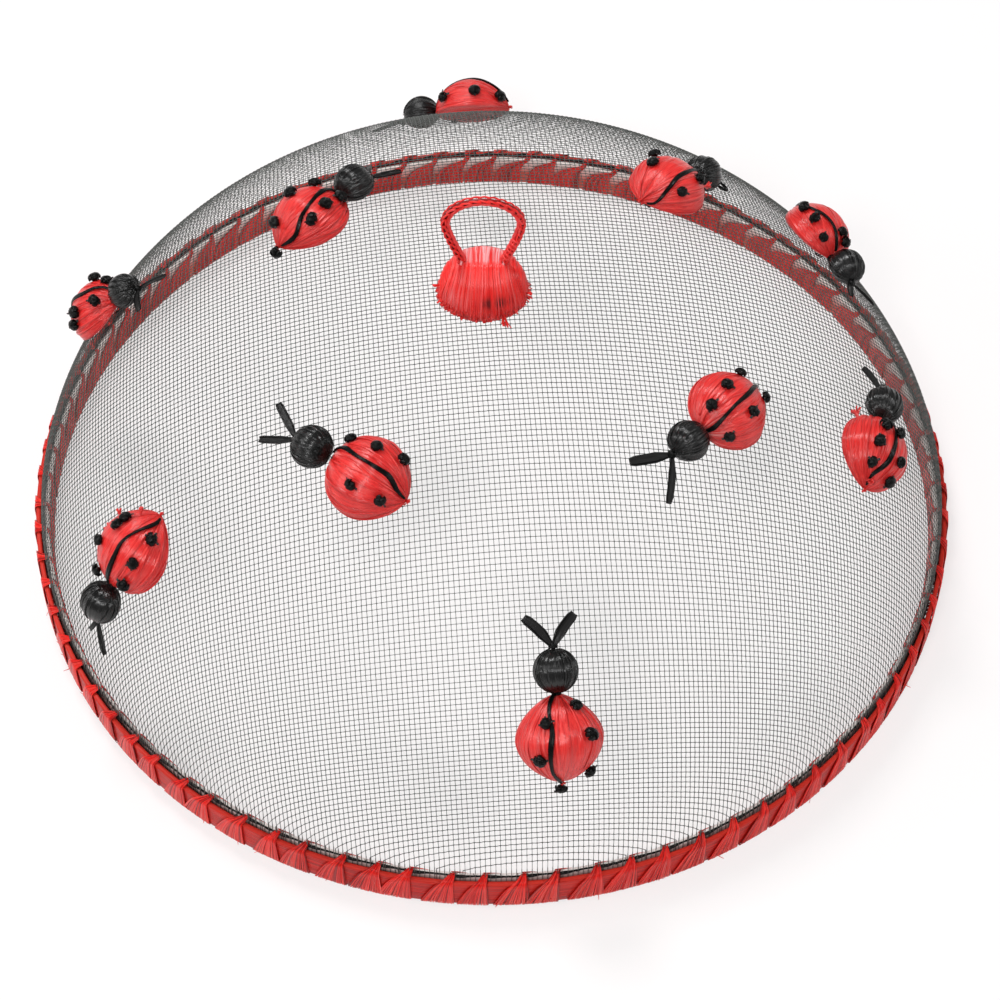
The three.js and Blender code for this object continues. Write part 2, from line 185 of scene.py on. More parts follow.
class MeshDraft:
    """Points and faces of one piece, gathered before it becomes an object."""

    def __init__(self) -> None:
        """Starts with no points."""
        self.points: list[Array] = []
        self.grain: list[Array] = []
        self.shade: list[Array] = []
        self.run: list[Array] = []
        self.faces: list[Array] = []
        self.count = 0

    def add(self, points: Array, faces: Array, grain: Array, run: Array, shade: Values = 0.0) -> None:
        """Adds a patch of points and four-sided faces.

        Args:
            points: Points in millimetres.
            faces: Rows of four point numbers, where a triangle names its last point twice.
            grain: Place of each point in the strand: along it first, then across it.
            run: Way that the strand runs at each point.
            shade: Painted light: from 1, painted shade as dark as deep in a crease, over 0 to -1, paler,
                mostly painted highlights and sheen, on some strands random wear.
        """
        self.faces.append(faces + self.count)
        self.points.append(points)
        self.grain.append(grain)
        self.run.append(run)
        self.shade.append(np.full(len(points), shade, float))
        self.count += len(points)

    def loft(
        self, rings: Array, grain: Array, along: Array, shade: Values = 0.0, closed: bool = False
    ) -> None:
        """Joins rings of points to a skin, and closes its ends.

        Args:
            rings: Rings of an even number of points, each turning right-handed about the way they follow on.
            grain: Place in the strand of each point.
            along: Way that the strand runs at each ring.
            shade: Shade of each ring, or one for all.
            closed: Whether the last ring joins the first.
        """
        count, sides = rings.shape[:2]
        quads = grid_faces(count, sides, closed)
        if not closed:
            i = np.arange(sides // 2 - 1)
            cap = np.stack([i, i + 1, sides - 2 - i, sides - 1 - i], axis=-1)
            quads = np.vstack([quads, cap[:, ::-1], cap + (count - 1) * sides])
        run = np.repeat(along, sides, axis=0)
        deep = np.repeat(np.full(count, shade, float), sides)
        self.add(rings.reshape(-1, 3), quads, grain.reshape(-1, 3), run, deep)

    def tube(
        self,
        path: Array,
        normals: Array,
        half_width: Values,
        half_thickness: Values,
        sides: int = 4,
        closed: bool = False,
        strand: float = 0.0,
        shade: Values = 0.0,
    ) -> None:
        """Sweeps a flat or round section along a path.

        Args:
            path: Points of the middle line.
            normals: Direction of the section's thickness, at each point or one for all.
            half_width: Half of the section's width, at each point or one for all.
            half_thickness: Half of its thickness, at each point or one for all.
            sides: How many sides the section has, an even number.
            closed: Whether the tube is a ring.
            strand: Number that its colour goes by.
            shade: Shade at each point, or one for all.
        """
        along = tangents(path, closed)
        angle = (np.arange(sides) + 0.5) / sides * TURN
        wide = np.full(len(path), half_width)[:, None] * np.cos(angle)
        thick = np.full(len(path), half_thickness)[:, None] * np.sin(angle)
        self.sweep(path, along, wide, thick, normals, strand, shade, closed)

    def ribbon(
        self,
        path: Array,
        normals: Array,
        half_width: Array,
        cup: float,
        thickness: float,
        strand: float = 0.0,
        shade: Values = 0.0,
    ) -> None:
        """Lays a thin ribbon whose two edges curl up.

        Args:
            path: Points of the middle line.
            normals: Way that its face looks, at each point or one for all.
            half_width: Half of its width at each point.
            cup: How far its edges stand up, as a share of the half width.
            thickness: Its thickness.
            strand: Number that its colour goes by.
            shade: Shade at each point, or one for all.
        """
        lane = np.linspace(1, -1, 7)
        lane = np.concatenate([lane, lane[::-1]])
        face = np.repeat([0.5, -0.5], 7) * thickness
        wide = half_width[:, None] * lane
        thick = half_width[:, None] * cup * (lane**2 + 0.12 * np.cos(lane * 9)) + face
        self.sweep(path, tangents(path), wide, thick, normals, strand, shade)

    def sweep(
        self,
        path: Array,
        along: Array,
        wide: Array,
        thick: Array,
        normals: Array,
        strand: float,
        shade: Values,
        closed: bool = False,
    ) -> None:
        """Carries sections along a path, each point with its place along, across and through the strand.

        Args:
            path: Points of the middle line.
            along: Direction of the line at each point.
            wide: How far each section's points lie to the side.
            thick: How far they lie up.
            normals: Direction of the section's thickness, at each point or one for all.
            strand: Number that its colour goes by.
            shade: Shade at each point, or one for all.
            closed: Whether the path is a ring.
        """
        across = unit(np.cross(np.broadcast_to(normals, path.shape), along))
        up = np.cross(along, across)
        rings = path[:, None, :] + wide[:, :, None] * across[:, None, :] + thick[:, :, None] * up[:, None, :]
        run = np.concatenate([[0.0], np.cumsum(np.linalg.norm(np.diff(path, axis=0), axis=1))])
        grain = xyz(run[:, None], wide + strand * 17.3, thick + strand * 5.1)
        self.loft(rings, grain, along, shade, closed)

    def skin(self, rings: Array, ends: Array, grain: Array, shade: Array) -> None:
        """Closes a skin over rings of points, with a point at each end.

        Args:
            rings: Rings of points, each turning right-handed about the way they follow on.
            ends: The point that closes the first ring, then the one that closes the last.
            grain: Place in the strands of each ring's points.
            shade: Shade of each of the rings' points.
        """
        count, around = rings.shape[:2]
        k = np.arange(around)
        following = np.roll(k, -1)
        first, last = count * around, (count - 1) * around
        tip = xyz(first, following, k)
        tail = xyz(first + 1, last + k, last + following)
        fans = np.vstack([tip, tail])[:, [0, 1, 2, 2]]
        places = np.vstack([grain.reshape(-1, 3), grain[0].mean(axis=0), grain[-1].mean(axis=0)])
        deep = np.concatenate([shade.reshape(-1), [shade[0].mean(), shade[-1].mean()]])
        run = unit(np.gradient(rings, axis=0)).reshape(-1, 3)
        run = np.vstack([run, run[0], run[-1]])
        faces = np.vstack([grid_faces(count, around), fans])
        self.add(np.vstack([rings.reshape(-1, 3), ends]), faces, places, run, deep)

    def build(self, name: str, material: Material, frame: Matrix | None = None) -> Piece:
        """Writes the gathered points out as an object.

        Args:
            name: Name of the piece.
            material: Finish of the piece.
            frame: Where the points' own frame lies, in millimetres.

        Returns:
            The new object, in metres.
        """
        points, run = np.vstack(self.points), np.vstack(self.run)
        if frame is not None:
            turned = np.array(frame)
            points = points @ turned[:3, :3].T + turned[:3, 3]
            run = run @ turned[:3, :3].T
        faces = np.vstack(self.faces)
        is_triangle = faces[:, 2] == faces[:, 3]
        totals = np.where(is_triangle, 3, 4)
        corners = faces[~np.stack([np.zeros(len(faces), bool)] * 3 + [is_triangle], axis=1)]
        mesh = bpy.data.meshes.new(name)
        mesh.vertices.add(len(points))
        mesh.vertices.foreach_set("co", (points * MILLIMETRE).astype(np.float32).ravel())
        mesh.loops.add(len(corners))
        mesh.loops.foreach_set("vertex_index", corners.astype(np.int32))
        mesh.polygons.add(len(faces))
        mesh.polygons.foreach_set("loop_start", (np.cumsum(totals) - totals).astype(np.int32))
        mesh.polygons.foreach_set("use_smooth", np.ones(len(faces), bool))
        mesh.update(calc_edges=True)
        mesh.validate()
        place = mesh.attributes.new(GRAIN, "FLOAT_VECTOR", "POINT")
        place.data.foreach_set("vector", np.vstack(self.grain).astype(np.float32).ravel())
        way = mesh.attributes.new(RUN, "FLOAT_VECTOR", "POINT")
        way.data.foreach_set("vector", run.astype(np.float32).ravel())
        deep = mesh.attributes.new(SHADE, "FLOAT", "POINT")
        deep.data.foreach_set("value", np.concatenate(self.shade).astype(np.float32))
        mesh.materials.append(material)
        piece = bpy.data.objects.new(name, mesh)
        bpy.context.scene.collection.objects.link(piece)
        log.info("%s: %d faces", name, len(faces))
        return piece


# Finishes


class NodeSheet:
    """Shader nodes of one material, with short ways to add and join them."""

    def __init__(self, name: str) -> None:
        """Starts a material.

        Args:
            name: Name of the material.
        """
        self.material = bpy.data.materials.new(name)
        self.material.use_nodes = True
        self.nodes = self.material.node_tree.nodes
        self.links = self.material.node_tree.links
        self.nodes.clear()

    def add(self, kind: str, **values: object) -> bpy.types.Node:
        """Adds a node and sets its sockets or properties.

        Args:
            kind: Name of the node type.
            **values: Values by socket name, or by property name.

        Returns:
            The node.
        """
        node = self.nodes.new(kind)
        for key, value in values.items():
            label = key.replace("_", " ").title().replace("Ior", "IOR")
            if label in node.inputs:
                node.inputs[label].default_value = value
            else:
                setattr(node, key, value)
        return node

    def join(self, source: Socket, target: Socket) -> None:
        """Links two sockets."""
        self.links.new(source, target)

    def grain(self, along: float, across: float) -> Socket:
        """Gives the strand's own place, stretched along it.

        Args:
            along: Repeats to the millimetre along the strand.
            across: Repeats to the millimetre across it.

        Returns:
            The scaled place.
        """
        place = self.add("ShaderNodeAttribute", attribute_name=GRAIN)
        scaled = self.add("ShaderNodeVectorMath", operation="MULTIPLY")
        scaled.inputs[1].default_value = (along, across, across)
        self.join(place.outputs["Vector"], scaled.inputs[0])
        return scaled.outputs[0]

    def noise(self, place: Socket, detail: float = 2.0, roughness: float = 0.5) -> Socket:
        """Adds noise over a place, one blotch to the unit.

        Args:
            place: Where the noise is read.
            detail: How many finer layers it has.
            roughness: How strong those are.

        Returns:
            The noise, from 0 to 1.
        """
        node = self.add("ShaderNodeTexNoise", scale=1.0, detail=detail, roughness=roughness)
        self.join(place, node.inputs["Vector"])
        return node.outputs["Fac"]

    def ramp(self, value: Socket, stops: list[tuple[float, Colour]]) -> Socket:
        """Turns a value into a colour by stops.

        Args:
            value: What is looked up.
            stops: Places from 0 to 1 with their colours.

        Returns:
            The colour.
        """
        node = self.add("ShaderNodeValToRGB")
        band = node.color_ramp
        while len(band.elements) < len(stops):
            band.elements.new(0.5)
        for element, (place, colour) in zip(band.elements, stops):
            element.position = place
            element.color = (*colour, 1.0)
        self.join(value, node.inputs["Fac"])
        return node.outputs["Color"]

    def mix(self, share: Socket, first: Socket | Colour, second: Socket | Colour) -> Socket:
        """Mixes two colours by a share.

        Args:
            share: How much of the second shows.
            first: Colour or socket.
            second: Colour or socket.

        Returns:
            The mixed colour.
        """
        node = self.add("ShaderNodeMix", data_type="RGBA")
        self.join(share, node.inputs["Factor"])
        for source, socket in ((first, node.inputs[6]), (second, node.inputs[7])):
            if isinstance(source, tuple):
                socket.default_value = (*source, 1.0)
            else:
                self.join(source, socket)
        return node.outputs[2]

    def span(self, value: Socket, low: float, high: float) -> Socket:
        """Stretches a value from 0 to 1 onto another span.

        Args:
            value: From 0 to 1.
            low: What 0 becomes.
            high: What 1 becomes.

        Returns:
            The stretched value.
        """
        node = self.add("ShaderNodeMapRange")
        node.inputs["To Min"].default_value = low
        node.inputs["To Max"].default_value = high
        self.join(value, node.inputs["Value"])
        return node.outputs["Result"]

    def bump(self, height: Socket, depth: float, strength: float) -> Socket:
        """Raises a surface by a height.

        Args:
            height: From 0 to 1.
            depth: What a height of 1 is, in metres.
            strength: How much of it shows.

        Returns:
            The normal.
        """
        node = self.add("ShaderNodeBump")
        node.inputs["Strength"].default_value = strength
        node.inputs["Distance"].default_value = depth
        self.join(height, node.inputs["Height"])
        return node.outputs["Normal"]

    def coat(
        self, colour: Socket, rough: Socket, relief: Socket, specular: float, satin: float = 0.0
    ) -> Material:
        """Makes a surface of its colour, roughness and relief, and hands the material over.

        Args:
            colour: Its colour.
            rough: Its roughness.
            relief: Its normal.
            specular: Strength of its highlights.
            satin: How far these stretch across the strands, up to 1.

        Returns:
            The material.
        """
        shader = self.add("ShaderNodeBsdfPrincipled", specular_ior_level=specular)
        if satin > 0:
            way = self.add("ShaderNodeAttribute", attribute_name=RUN)
            shader.inputs["Anisotropic"].default_value = satin
            shader.inputs["Anisotropic Rotation"].default_value = 0.25
            self.join(way.outputs["Vector"], shader.inputs["Tangent"])
        for name, source in (("Base Color", colour), ("Roughness", rough), ("Normal", relief)):
            self.join(source, shader.inputs[name])
        return self.finish(shader)

    def finish(self, shader: bpy.types.Node) -> Material:
        """Joins a shader to the output and hands the material over."""
        output = self.add("ShaderNodeOutputMaterial")
        self.join(shader.outputs[0], output.inputs["Surface"])
        return self.material


@dataclass(frozen=True)
class RaffiaFinish:
    """Flat strands of synthetic raffia with a satin face and fine splits along them."""

    name: str
    deep: Colour
    body: Colour
    bright: Colour
    # fold_shade is painted shade, shown as the shade attribute runs up to 1; wear_and_sheen is shown as it
    # runs down to -1, mostly painted highlights and sheen, on some strands random wear.
    fold_shade: Colour
    wear_and_sheen: Colour
    roughness: float = 0.34
    specular: float = 0.5
    relief: float = 0.00014
    satin: float = 0.75

    def make(self) -> Material:
        """Builds the material.

        Returns:
            The raffia material.
        """
        sheet = NodeSheet(self.name)
        fine = sheet.noise(sheet.grain(0.06, 2.6), detail=3.0, roughness=0.6)
        broad = sheet.noise(sheet.grain(0.1, 0.42), detail=1.0)
        strands = sheet.ramp(fine, [(0.3, self.deep), (0.5, self.body), (0.72, self.bright)])
        patches = sheet.mix(sheet.span(broad, 0.0, 0.5), strands, self.body)
        # Painted shade: the shade attribute darkens the colour towards fold_shade.
        shade = sheet.add("ShaderNodeAttribute", attribute_name=SHADE)
        folded = sheet.mix(shade.outputs["Fac"], patches, self.fold_shade)
        # Below zero it pales towards wear_and_sheen: painted highlights, with random wear on some strands.
        wear_and_sheen_share = sheet.add("ShaderNodeMath", operation="MULTIPLY")
        wear_and_sheen_share.inputs[1].default_value = -1.0
        sheet.join(shade.outputs["Fac"], wear_and_sheen_share.inputs[0])
        colour = sheet.mix(wear_and_sheen_share.outputs[0], folded, self.wear_and_sheen)
        rough = sheet.span(fine, self.roughness - 0.1, self.roughness + 0.12)
        return sheet.coat(colour, rough, sheet.bump(fine, self.relief, 1.0), self.specular, self.satin)


@dataclass(frozen=True)
class BambooFinish:
    """Split bamboo strip with dyed fibres and a paler top edge, dye wear with a painted highlight."""

    name: str
    deep: Colour
    body: Colour
    bright: Colour
    wear_and_sheen: Colour
    roughness: float = 0.34
    specular: float = 0.3
    relief: float = 0.00018

    def make(self) -> Material:
        """Builds the material.

        Returns:
            The bamboo material.
        """
        sheet = NodeSheet(self.name)
        fibre = sheet.noise(sheet.grain(0.05, 2.2), detail=4.0, roughness=0.62)
        blotch = sheet.noise(sheet.grain(0.09, 0.16), detail=2.0)
        dyed = sheet.ramp(fibre, [(0.32, self.deep), (0.5, self.body), (0.7, self.bright)])
        faded = sheet.mix(sheet.span(blotch, -0.9, 0.8), dyed, self.bright)
        # The shade attribute carries the paler top edge here: dye wear with a painted highlight.
        edge = sheet.add("ShaderNodeAttribute", attribute_name=SHADE)
        uneven = sheet.add("ShaderNodeMath", operation="MULTIPLY")
        sheet.join(edge.outputs["Fac"], uneven.inputs[0])
        sheet.join(sheet.span(fibre, 0.55, 1.35), uneven.inputs[1])
        colour = sheet.mix(uneven.outputs[0], faded, self.wear_and_sheen)
        rough = sheet.span(fibre, self.roughness - 0.06, self.roughness + 0.14)
        return sheet.coat(colour, rough, sheet.bump(fibre, self.relief, 0.8), self.specular)


@dataclass(frozen=True)
class ScreenFinish:
    """Monofilament of window screen, dark with a dull gloss."""

    name: str
    deep: Colour
    body: Colour
    roughness: float = 0.42
    specular: float = 0.5
    relief: float = 0.00003

    def make(self) -> Material:
        """Builds the material.

        Returns:
            The screen material.
        """
        sheet = NodeSheet(self.name)
        speck = sheet.noise(sheet.grain(0.6, 2.0), detail=2.0)
        colour = sheet.ramp(speck, [(0.3, self.deep), (0.7, self.body)])
        rough = sheet.span(speck, self.roughness - 0.08, self.roughness + 0.1)
        return sheet.coat(colour, rough, sheet.bump(speck, self.relief, 0.4), self.specular)


@dataclass(frozen=True)
class FloorFinish:
    """White sweep that stays white to the camera and keeps a soft shadow."""

    name: str = "white_sweep"
    # The matte colour is tinted pink: a painted red bounce from the rim, seen only in its shadow.
    colour: Colour = (0.96, 0.9, 0.895)
    white_share: float = 0.68

    def make(self) -> Material:
        """Builds the material.

        Returns:
            The floor material.
        """
        sheet = NodeSheet(self.name)
        rays = sheet.add("ShaderNodeLightPath")
        seen = rays.outputs["Is Camera Ray"]
        for name in ("Is Glossy Ray", "Is Transmission Ray"):
            either = sheet.add("ShaderNodeMath", operation="MAXIMUM")
            sheet.join(seen, either.inputs[0])
            sheet.join(rays.outputs[name], either.inputs[1])
            seen = either.outputs[0]
        share = sheet.add("ShaderNodeMath", operation="MULTIPLY")
        share.inputs[1].default_value = self.white_share
        sheet.join(seen, share.inputs[0])
        matte = sheet.add("ShaderNodeBsdfDiffuse")
        matte.inputs["Color"].default_value = (*self.colour, 1.0)
        glow = sheet.add("ShaderNodeEmission")
        both = sheet.add("ShaderNodeMixShader")
        sheet.join(share.outputs[0], both.inputs[0])
        sheet.join(matte.outputs[0], both.inputs[1])
        sheet.join(glow.outputs[0], both.inputs[2])
        return sheet.finish(both)


class Finishes:
    """Every finish of the cover."""

    def __init__(self) -> None:
        """Makes the materials."""
        self.red = RaffiaFinish(
            "wound_red_raffia",
            deep=(0.46, 0.007, 0.008),
            body=(0.76, 0.02, 0.019),
            bright=(0.9, 0.075, 0.06),
            fold_shade=(0.12, 0.002, 0.003),
            wear_and_sheen=(0.95, 0.5, 0.48),
            roughness=0.3, specular=0.6, relief=0.00024,
        ).make()
        # A brighter copy of the red raffia for the knob and loop: painted light.
        self.painted_lit_red = RaffiaFinish(
            "painted_lit_red_raffia",
            deep=(0.62, 0.006, 0.007),
            body=(0.9, 0.018, 0.016),
            bright=(0.98, 0.08, 0.06),
            fold_shade=(0.16, 0.002, 0.003),
            wear_and_sheen=(0.98, 0.5, 0.52),
            roughness=0.36, specular=0.42, relief=0.00024,
        ).make()
        self.red_fibre = RaffiaFinish(
            "whipped_red_raffia",
            deep=(0.46, 0.004, 0.004),
            body=(0.84, 0.011, 0.008),
            bright=(0.96, 0.075, 0.05),
            fold_shade=(0.1, 0.002, 0.002),
            wear_and_sheen=(0.85, 0.27, 0.22),
            roughness=0.36, specular=0.2,
        ).make()
        self.black = RaffiaFinish(
            "wound_black_raffia",
            deep=(0.0015, 0.0015, 0.0015),
            body=(0.003, 0.003, 0.003),
            bright=(0.009, 0.009, 0.009),
            fold_shade=(0.001, 0.001, 0.001),
            wear_and_sheen=(0.25, 0.24, 0.24),
            roughness=0.21, specular=0.52, relief=0.0003, satin=0.45,
        ).make()
        self.knotted_black = RaffiaFinish(
            "knotted_black_raffia",
            deep=(0.001, 0.001, 0.001),
            body=(0.002, 0.002, 0.002),
            bright=(0.006, 0.006, 0.006),
            fold_shade=(0.0005, 0.0005, 0.0005),
            wear_and_sheen=(0.25, 0.24, 0.24),
            roughness=0.2, specular=0.16, relief=0.0003, satin=0.3,
        ).make()
        self.screen = ScreenFinish("screen_filament", (0.05, 0.055, 0.05), (0.09, 0.1, 0.092)).make()
        # A darker copy of the screen finish for the rolled hem: painted shade.
        self.shade_darkened_screen = ScreenFinish(
            "shade_darkened_screen",
            deep=(0.004, 0.004, 0.005),
            body=(0.014, 0.012, 0.012), specular=0.15,
        ).make()
        self.outer_bamboo = BambooFinish(
            "dyed_bamboo",
            deep=(0.2, 0.003, 0.002),
            body=(0.5, 0.009, 0.006),
            bright=(0.68, 0.022, 0.012),
            wear_and_sheen=(0.6, 0.03, 0.018), specular=0.14,
        ).make()
        self.inner_bamboo = BambooFinish(
            "half_dyed_bamboo",
            deep=(0.42, 0.03, 0.02),
            body=(0.66, 0.08, 0.05),
            bright=(0.8, 0.2, 0.14),
            wear_and_sheen=(0.95, 0.88, 0.84),
        ).make()


# Dome


@dataclass(frozen=True)
class DomeShape:
    """The dome's outside, which everything on the cover is seated on."""

    radius: float = 147.5
    spring: float = 13.2
    apex: float = 105.0
    crown: float = 2.06
    shoulder: float = 0.58

    def height(self, distance: Values) -> Array:
        """Gives the dome's height over the rim's underside, at a distance from its axis."""
        share = np.minimum(np.asarray(distance, float) / self.radius, 1.0)
        return self.spring + (self.apex - self.spring) * (1 - share**self.crown) ** self.shoulder

    def normal(self, x: Values, y: Values) -> Array:
        """Gives the direction straight off the cloth.

        Args:
            x: Plan place.
            y: Plan place.

        Returns:
            Directions of length one.
        """
        distance = np.maximum(np.hypot(x, y), 1e-6)
        share = np.minimum(distance / self.radius, 0.99999)
        fall = self.shoulder * self.crown * share ** (self.crown - 1)
        fall = fall * (1 - share**self.crown) ** (self.shoulder - 1)
        slope = (self.apex - self.spring) * fall / self.radius
        return unit(xyz(slope * x / distance, slope * y / distance, 1.0))

    def point(self, x: float, y: float) -> Array:
        """Gives the place on the cloth over a plan point."""
        return np.array([x, y, float(self.height(math.hypot(x, y)))])

    def seat(self, x: float, y: float, heading: float) -> Matrix:
        """Gives the frame of a piece that is sewn to the cloth.

        Args:
            x: Plan place.
            y: Plan place.
            heading: Where its x axis points, in degrees from +X.

        Returns:
            A frame whose z axis stands off the cloth.
        """
        up = Vector(self.normal(x, y))
        forward = Vector(outward(math.radians(heading)))
        forward = (forward - up * forward.dot(up)).normalized()
        frame = Matrix((forward, up.cross(forward), up)).transposed().to_4x4()
        frame.translation = Vector(self.point(x, y))
        return frame


@dataclass
class ScreenCloth:
    """The dome's plain-woven screen, each thread laid over and under the ones that it crosses."""

    dome: DomeShape
    finish: Material
    column_pitch: float = 1.476
    row_pitch: float = 1.62
    thread_radius: float = 0.105
    crossing_radius: float = 0.17
    back_stretch: float = 0.34
    turn: float = 5.2242
    half_size: float = 150.0
    edge_radius: float = 147.2
    foot_height: float = 4.0
    bands: int = 7
    rounds: int = 14
    farthest_thread: int = 125
    column_bend: tuple[float, ...] = (-0.0095, -0.1698, 0.1931, 0.489, 0.1319)
    row_bend: tuple[float, ...] = (-0.2776, -0.1563, 0.4691, 0.7821, 0.1936)

    def counts(self, x: Array, y: Array) -> tuple[Array, Array]:
        """Counts the threads from the middle to a plan point, along the cloth's own grain.

        Args:
            x: Place along the cloth's own rows, as a share of its half size.
            y: Place along its columns.

        Returns:
            The counts of columns and rows.
        """
        a, b, c, d, e = self.column_bend
        column = x * (1 + a * x**2 + b * y**2 + c * x**4 + d * x**2 * y**2 + e * y**4)
        a, b, c, d, e = self.row_bend
        row = y * (1 + a * y**2 + b * x**2 + c * y**4 + d * x**2 * y**2 + e * x**4)
        return column * self.half_size / self.column_pitch, row * self.half_size / self.row_pitch

    def crossings(self, columns: Array, rows: Array) -> Array:
        """Finds where threads cross.

        Args:
            columns: Column numbers.
            rows: Row numbers.

        Returns:
            Plan places of the crossings, in millimetres.
        """
        first_guess, longest_step, farthest, missed = 0.8, 0.15, 1.3, 9.0
        x = columns * self.column_pitch / self.half_size * first_guess
        y = rows * self.row_pitch / self.half_size * first_guess
        nudge = 1e-5
        for _ in range(self.rounds):
            u, v = self.counts(x, y)
            ux, vx = self.counts(x + nudge, y)
            uy, vy = self.counts(x, y + nudge)
            a, b, c, d = (ux - u) / nudge, (uy - u) / nudge, (vx - v) / nudge, (vy - v) / nudge
            det = a * d - b * c
            du, dv = columns - u, rows - v
            step_x = np.clip((d * du - b * dv) / det, -longest_step, longest_step)
            step_y = np.clip((a * dv - c * du) / det, -longest_step, longest_step)
            x = np.clip(x + step_x, -farthest, farthest)
            y = np.clip(y + step_y, -farthest, farthest)
        u, v = self.counts(x, y)
        lost = np.hypot(u - columns, v - rows) > 0.02
        x = np.where(lost, missed, x) * self.half_size
        y = np.where(lost, missed, y) * self.half_size
        turn = math.radians(self.turn)
        across = x * math.cos(turn) - y * math.sin(turn)
        return np.stack([across, x * math.sin(turn) + y * math.cos(turn)], axis=-1)

    def to_edge(self, inside: Array, before: Array) -> Array:
        """Carries a thread on in a straight line to the edge of the dome.

        Args:
            inside: The last plan point within the edge.
            before: The one before it.

        Returns:
            The plan point on the edge.
        """
        step = inside - before
        a, b, c = step @ step, 2 * inside @ step, inside @ inside - self.edge_radius**2
        reach = (-b + math.sqrt(max(b * b - 4 * a * c, 0.0))) / (2 * a)
        return inside + step * reach

    def thread(self, plan: Array, over: Array) -> tuple[Array, Array, Array] | None:
        """Lays one thread over the dome and down between the hoops.

        Args:
            plan: Its crossings in plan, in order.
            over: 1 where it passes over the other thread and -1 where it passes under.

        Returns:
            Points, normals and radii, or nothing where the thread misses the dome.
        """
        within = np.hypot(plan[:, 0], plan[:, 1]) < self.edge_radius - 0.15
        index = np.flatnonzero(within)
        if len(index) < 3:
            return None
        index = np.arange(index[0], index[-1] + 1)
        plan, over = plan[index], over[index].astype(float)
        plan = np.vstack([self.to_edge(plan[0], plan[1]), plan, self.to_edge(plan[-1], plan[-2])])
        over = np.concatenate([[0.0], over, [0.0]])
        known = np.arange(len(plan))
        shares = np.array([0.0, 0.22, 0.78])
        where = np.append((known[:-1, None] + shares).ravel(), known[-1])
        x, y = np.interp(where, known, plan[:, 0]), np.interp(where, known, plan[:, 1])
        at_crossing = where == np.round(where)
        radius = np.where(at_crossing, self.crossing_radius, self.thread_radius)
        stretched = np.clip((y - 60) / 50, 0, 1) * np.clip((np.hypot(x, y) - 100) / 30, 0, 1)
        radius = radius * (1 - self.back_stretch * stretched)
        lift = np.interp(where, known, over) * self.crossing_radius * 0.6
        normal = self.dome.normal(x, y)
        points = np.column_stack([x, y, self.dome.height(np.hypot(x, y))])
        points += normal * (lift - 2 * self.thread_radius)[:, None]
        out = [unit(xyz(x[end], y[end], 0.0)) for end in (0, -1)]
        drop = np.array([13.0, 9.0, self.foot_height])
        feet = [way * self.edge_radius + drop[:, None] * UP for way in out]
        points = np.vstack([feet[0][::-1], points, feet[1]])
        normal = np.vstack([[out[0]] * 3, normal, [out[1]] * 3])
        return points, normal, np.pad(radius, 3, constant_values=self.thread_radius)

    def build(self) -> list[Piece]:
        """Weaves the whole screen.

        Returns:
            The bands of threads, columns first.
        """
        reach = np.arange(-self.farthest_thread, self.farthest_thread + 1)
        columns, rows = np.meshgrid(reach, reach, indexing="ij")
        plan = self.crossings(columns.astype(float), rows.astype(float))
        over = np.where((columns + rows) % 2 == 0, 1, -1)
        pieces = []
        sets = (("net_columns", plan, over), ("net_rows", plan.transpose(1, 0, 2), -over.T))
        for name, places, sides in sets:
            laid = [self.thread(places[k], sides[k]) for k in range(len(reach))]
            laid = [thread for thread in laid if thread is not None]
            for band in range(self.bands):
                draft = MeshDraft()
                chosen = laid[len(laid) * band // self.bands : len(laid) * (band + 1) // self.bands]
                for number, (points, normals, radius) in enumerate(chosen):
                    draft.tube(points, normals, radius, radius, strand=float(number))
                pieces.append(draft.build(f"{name}_{band + 1}", self.finish))
        return pieces


# Rim


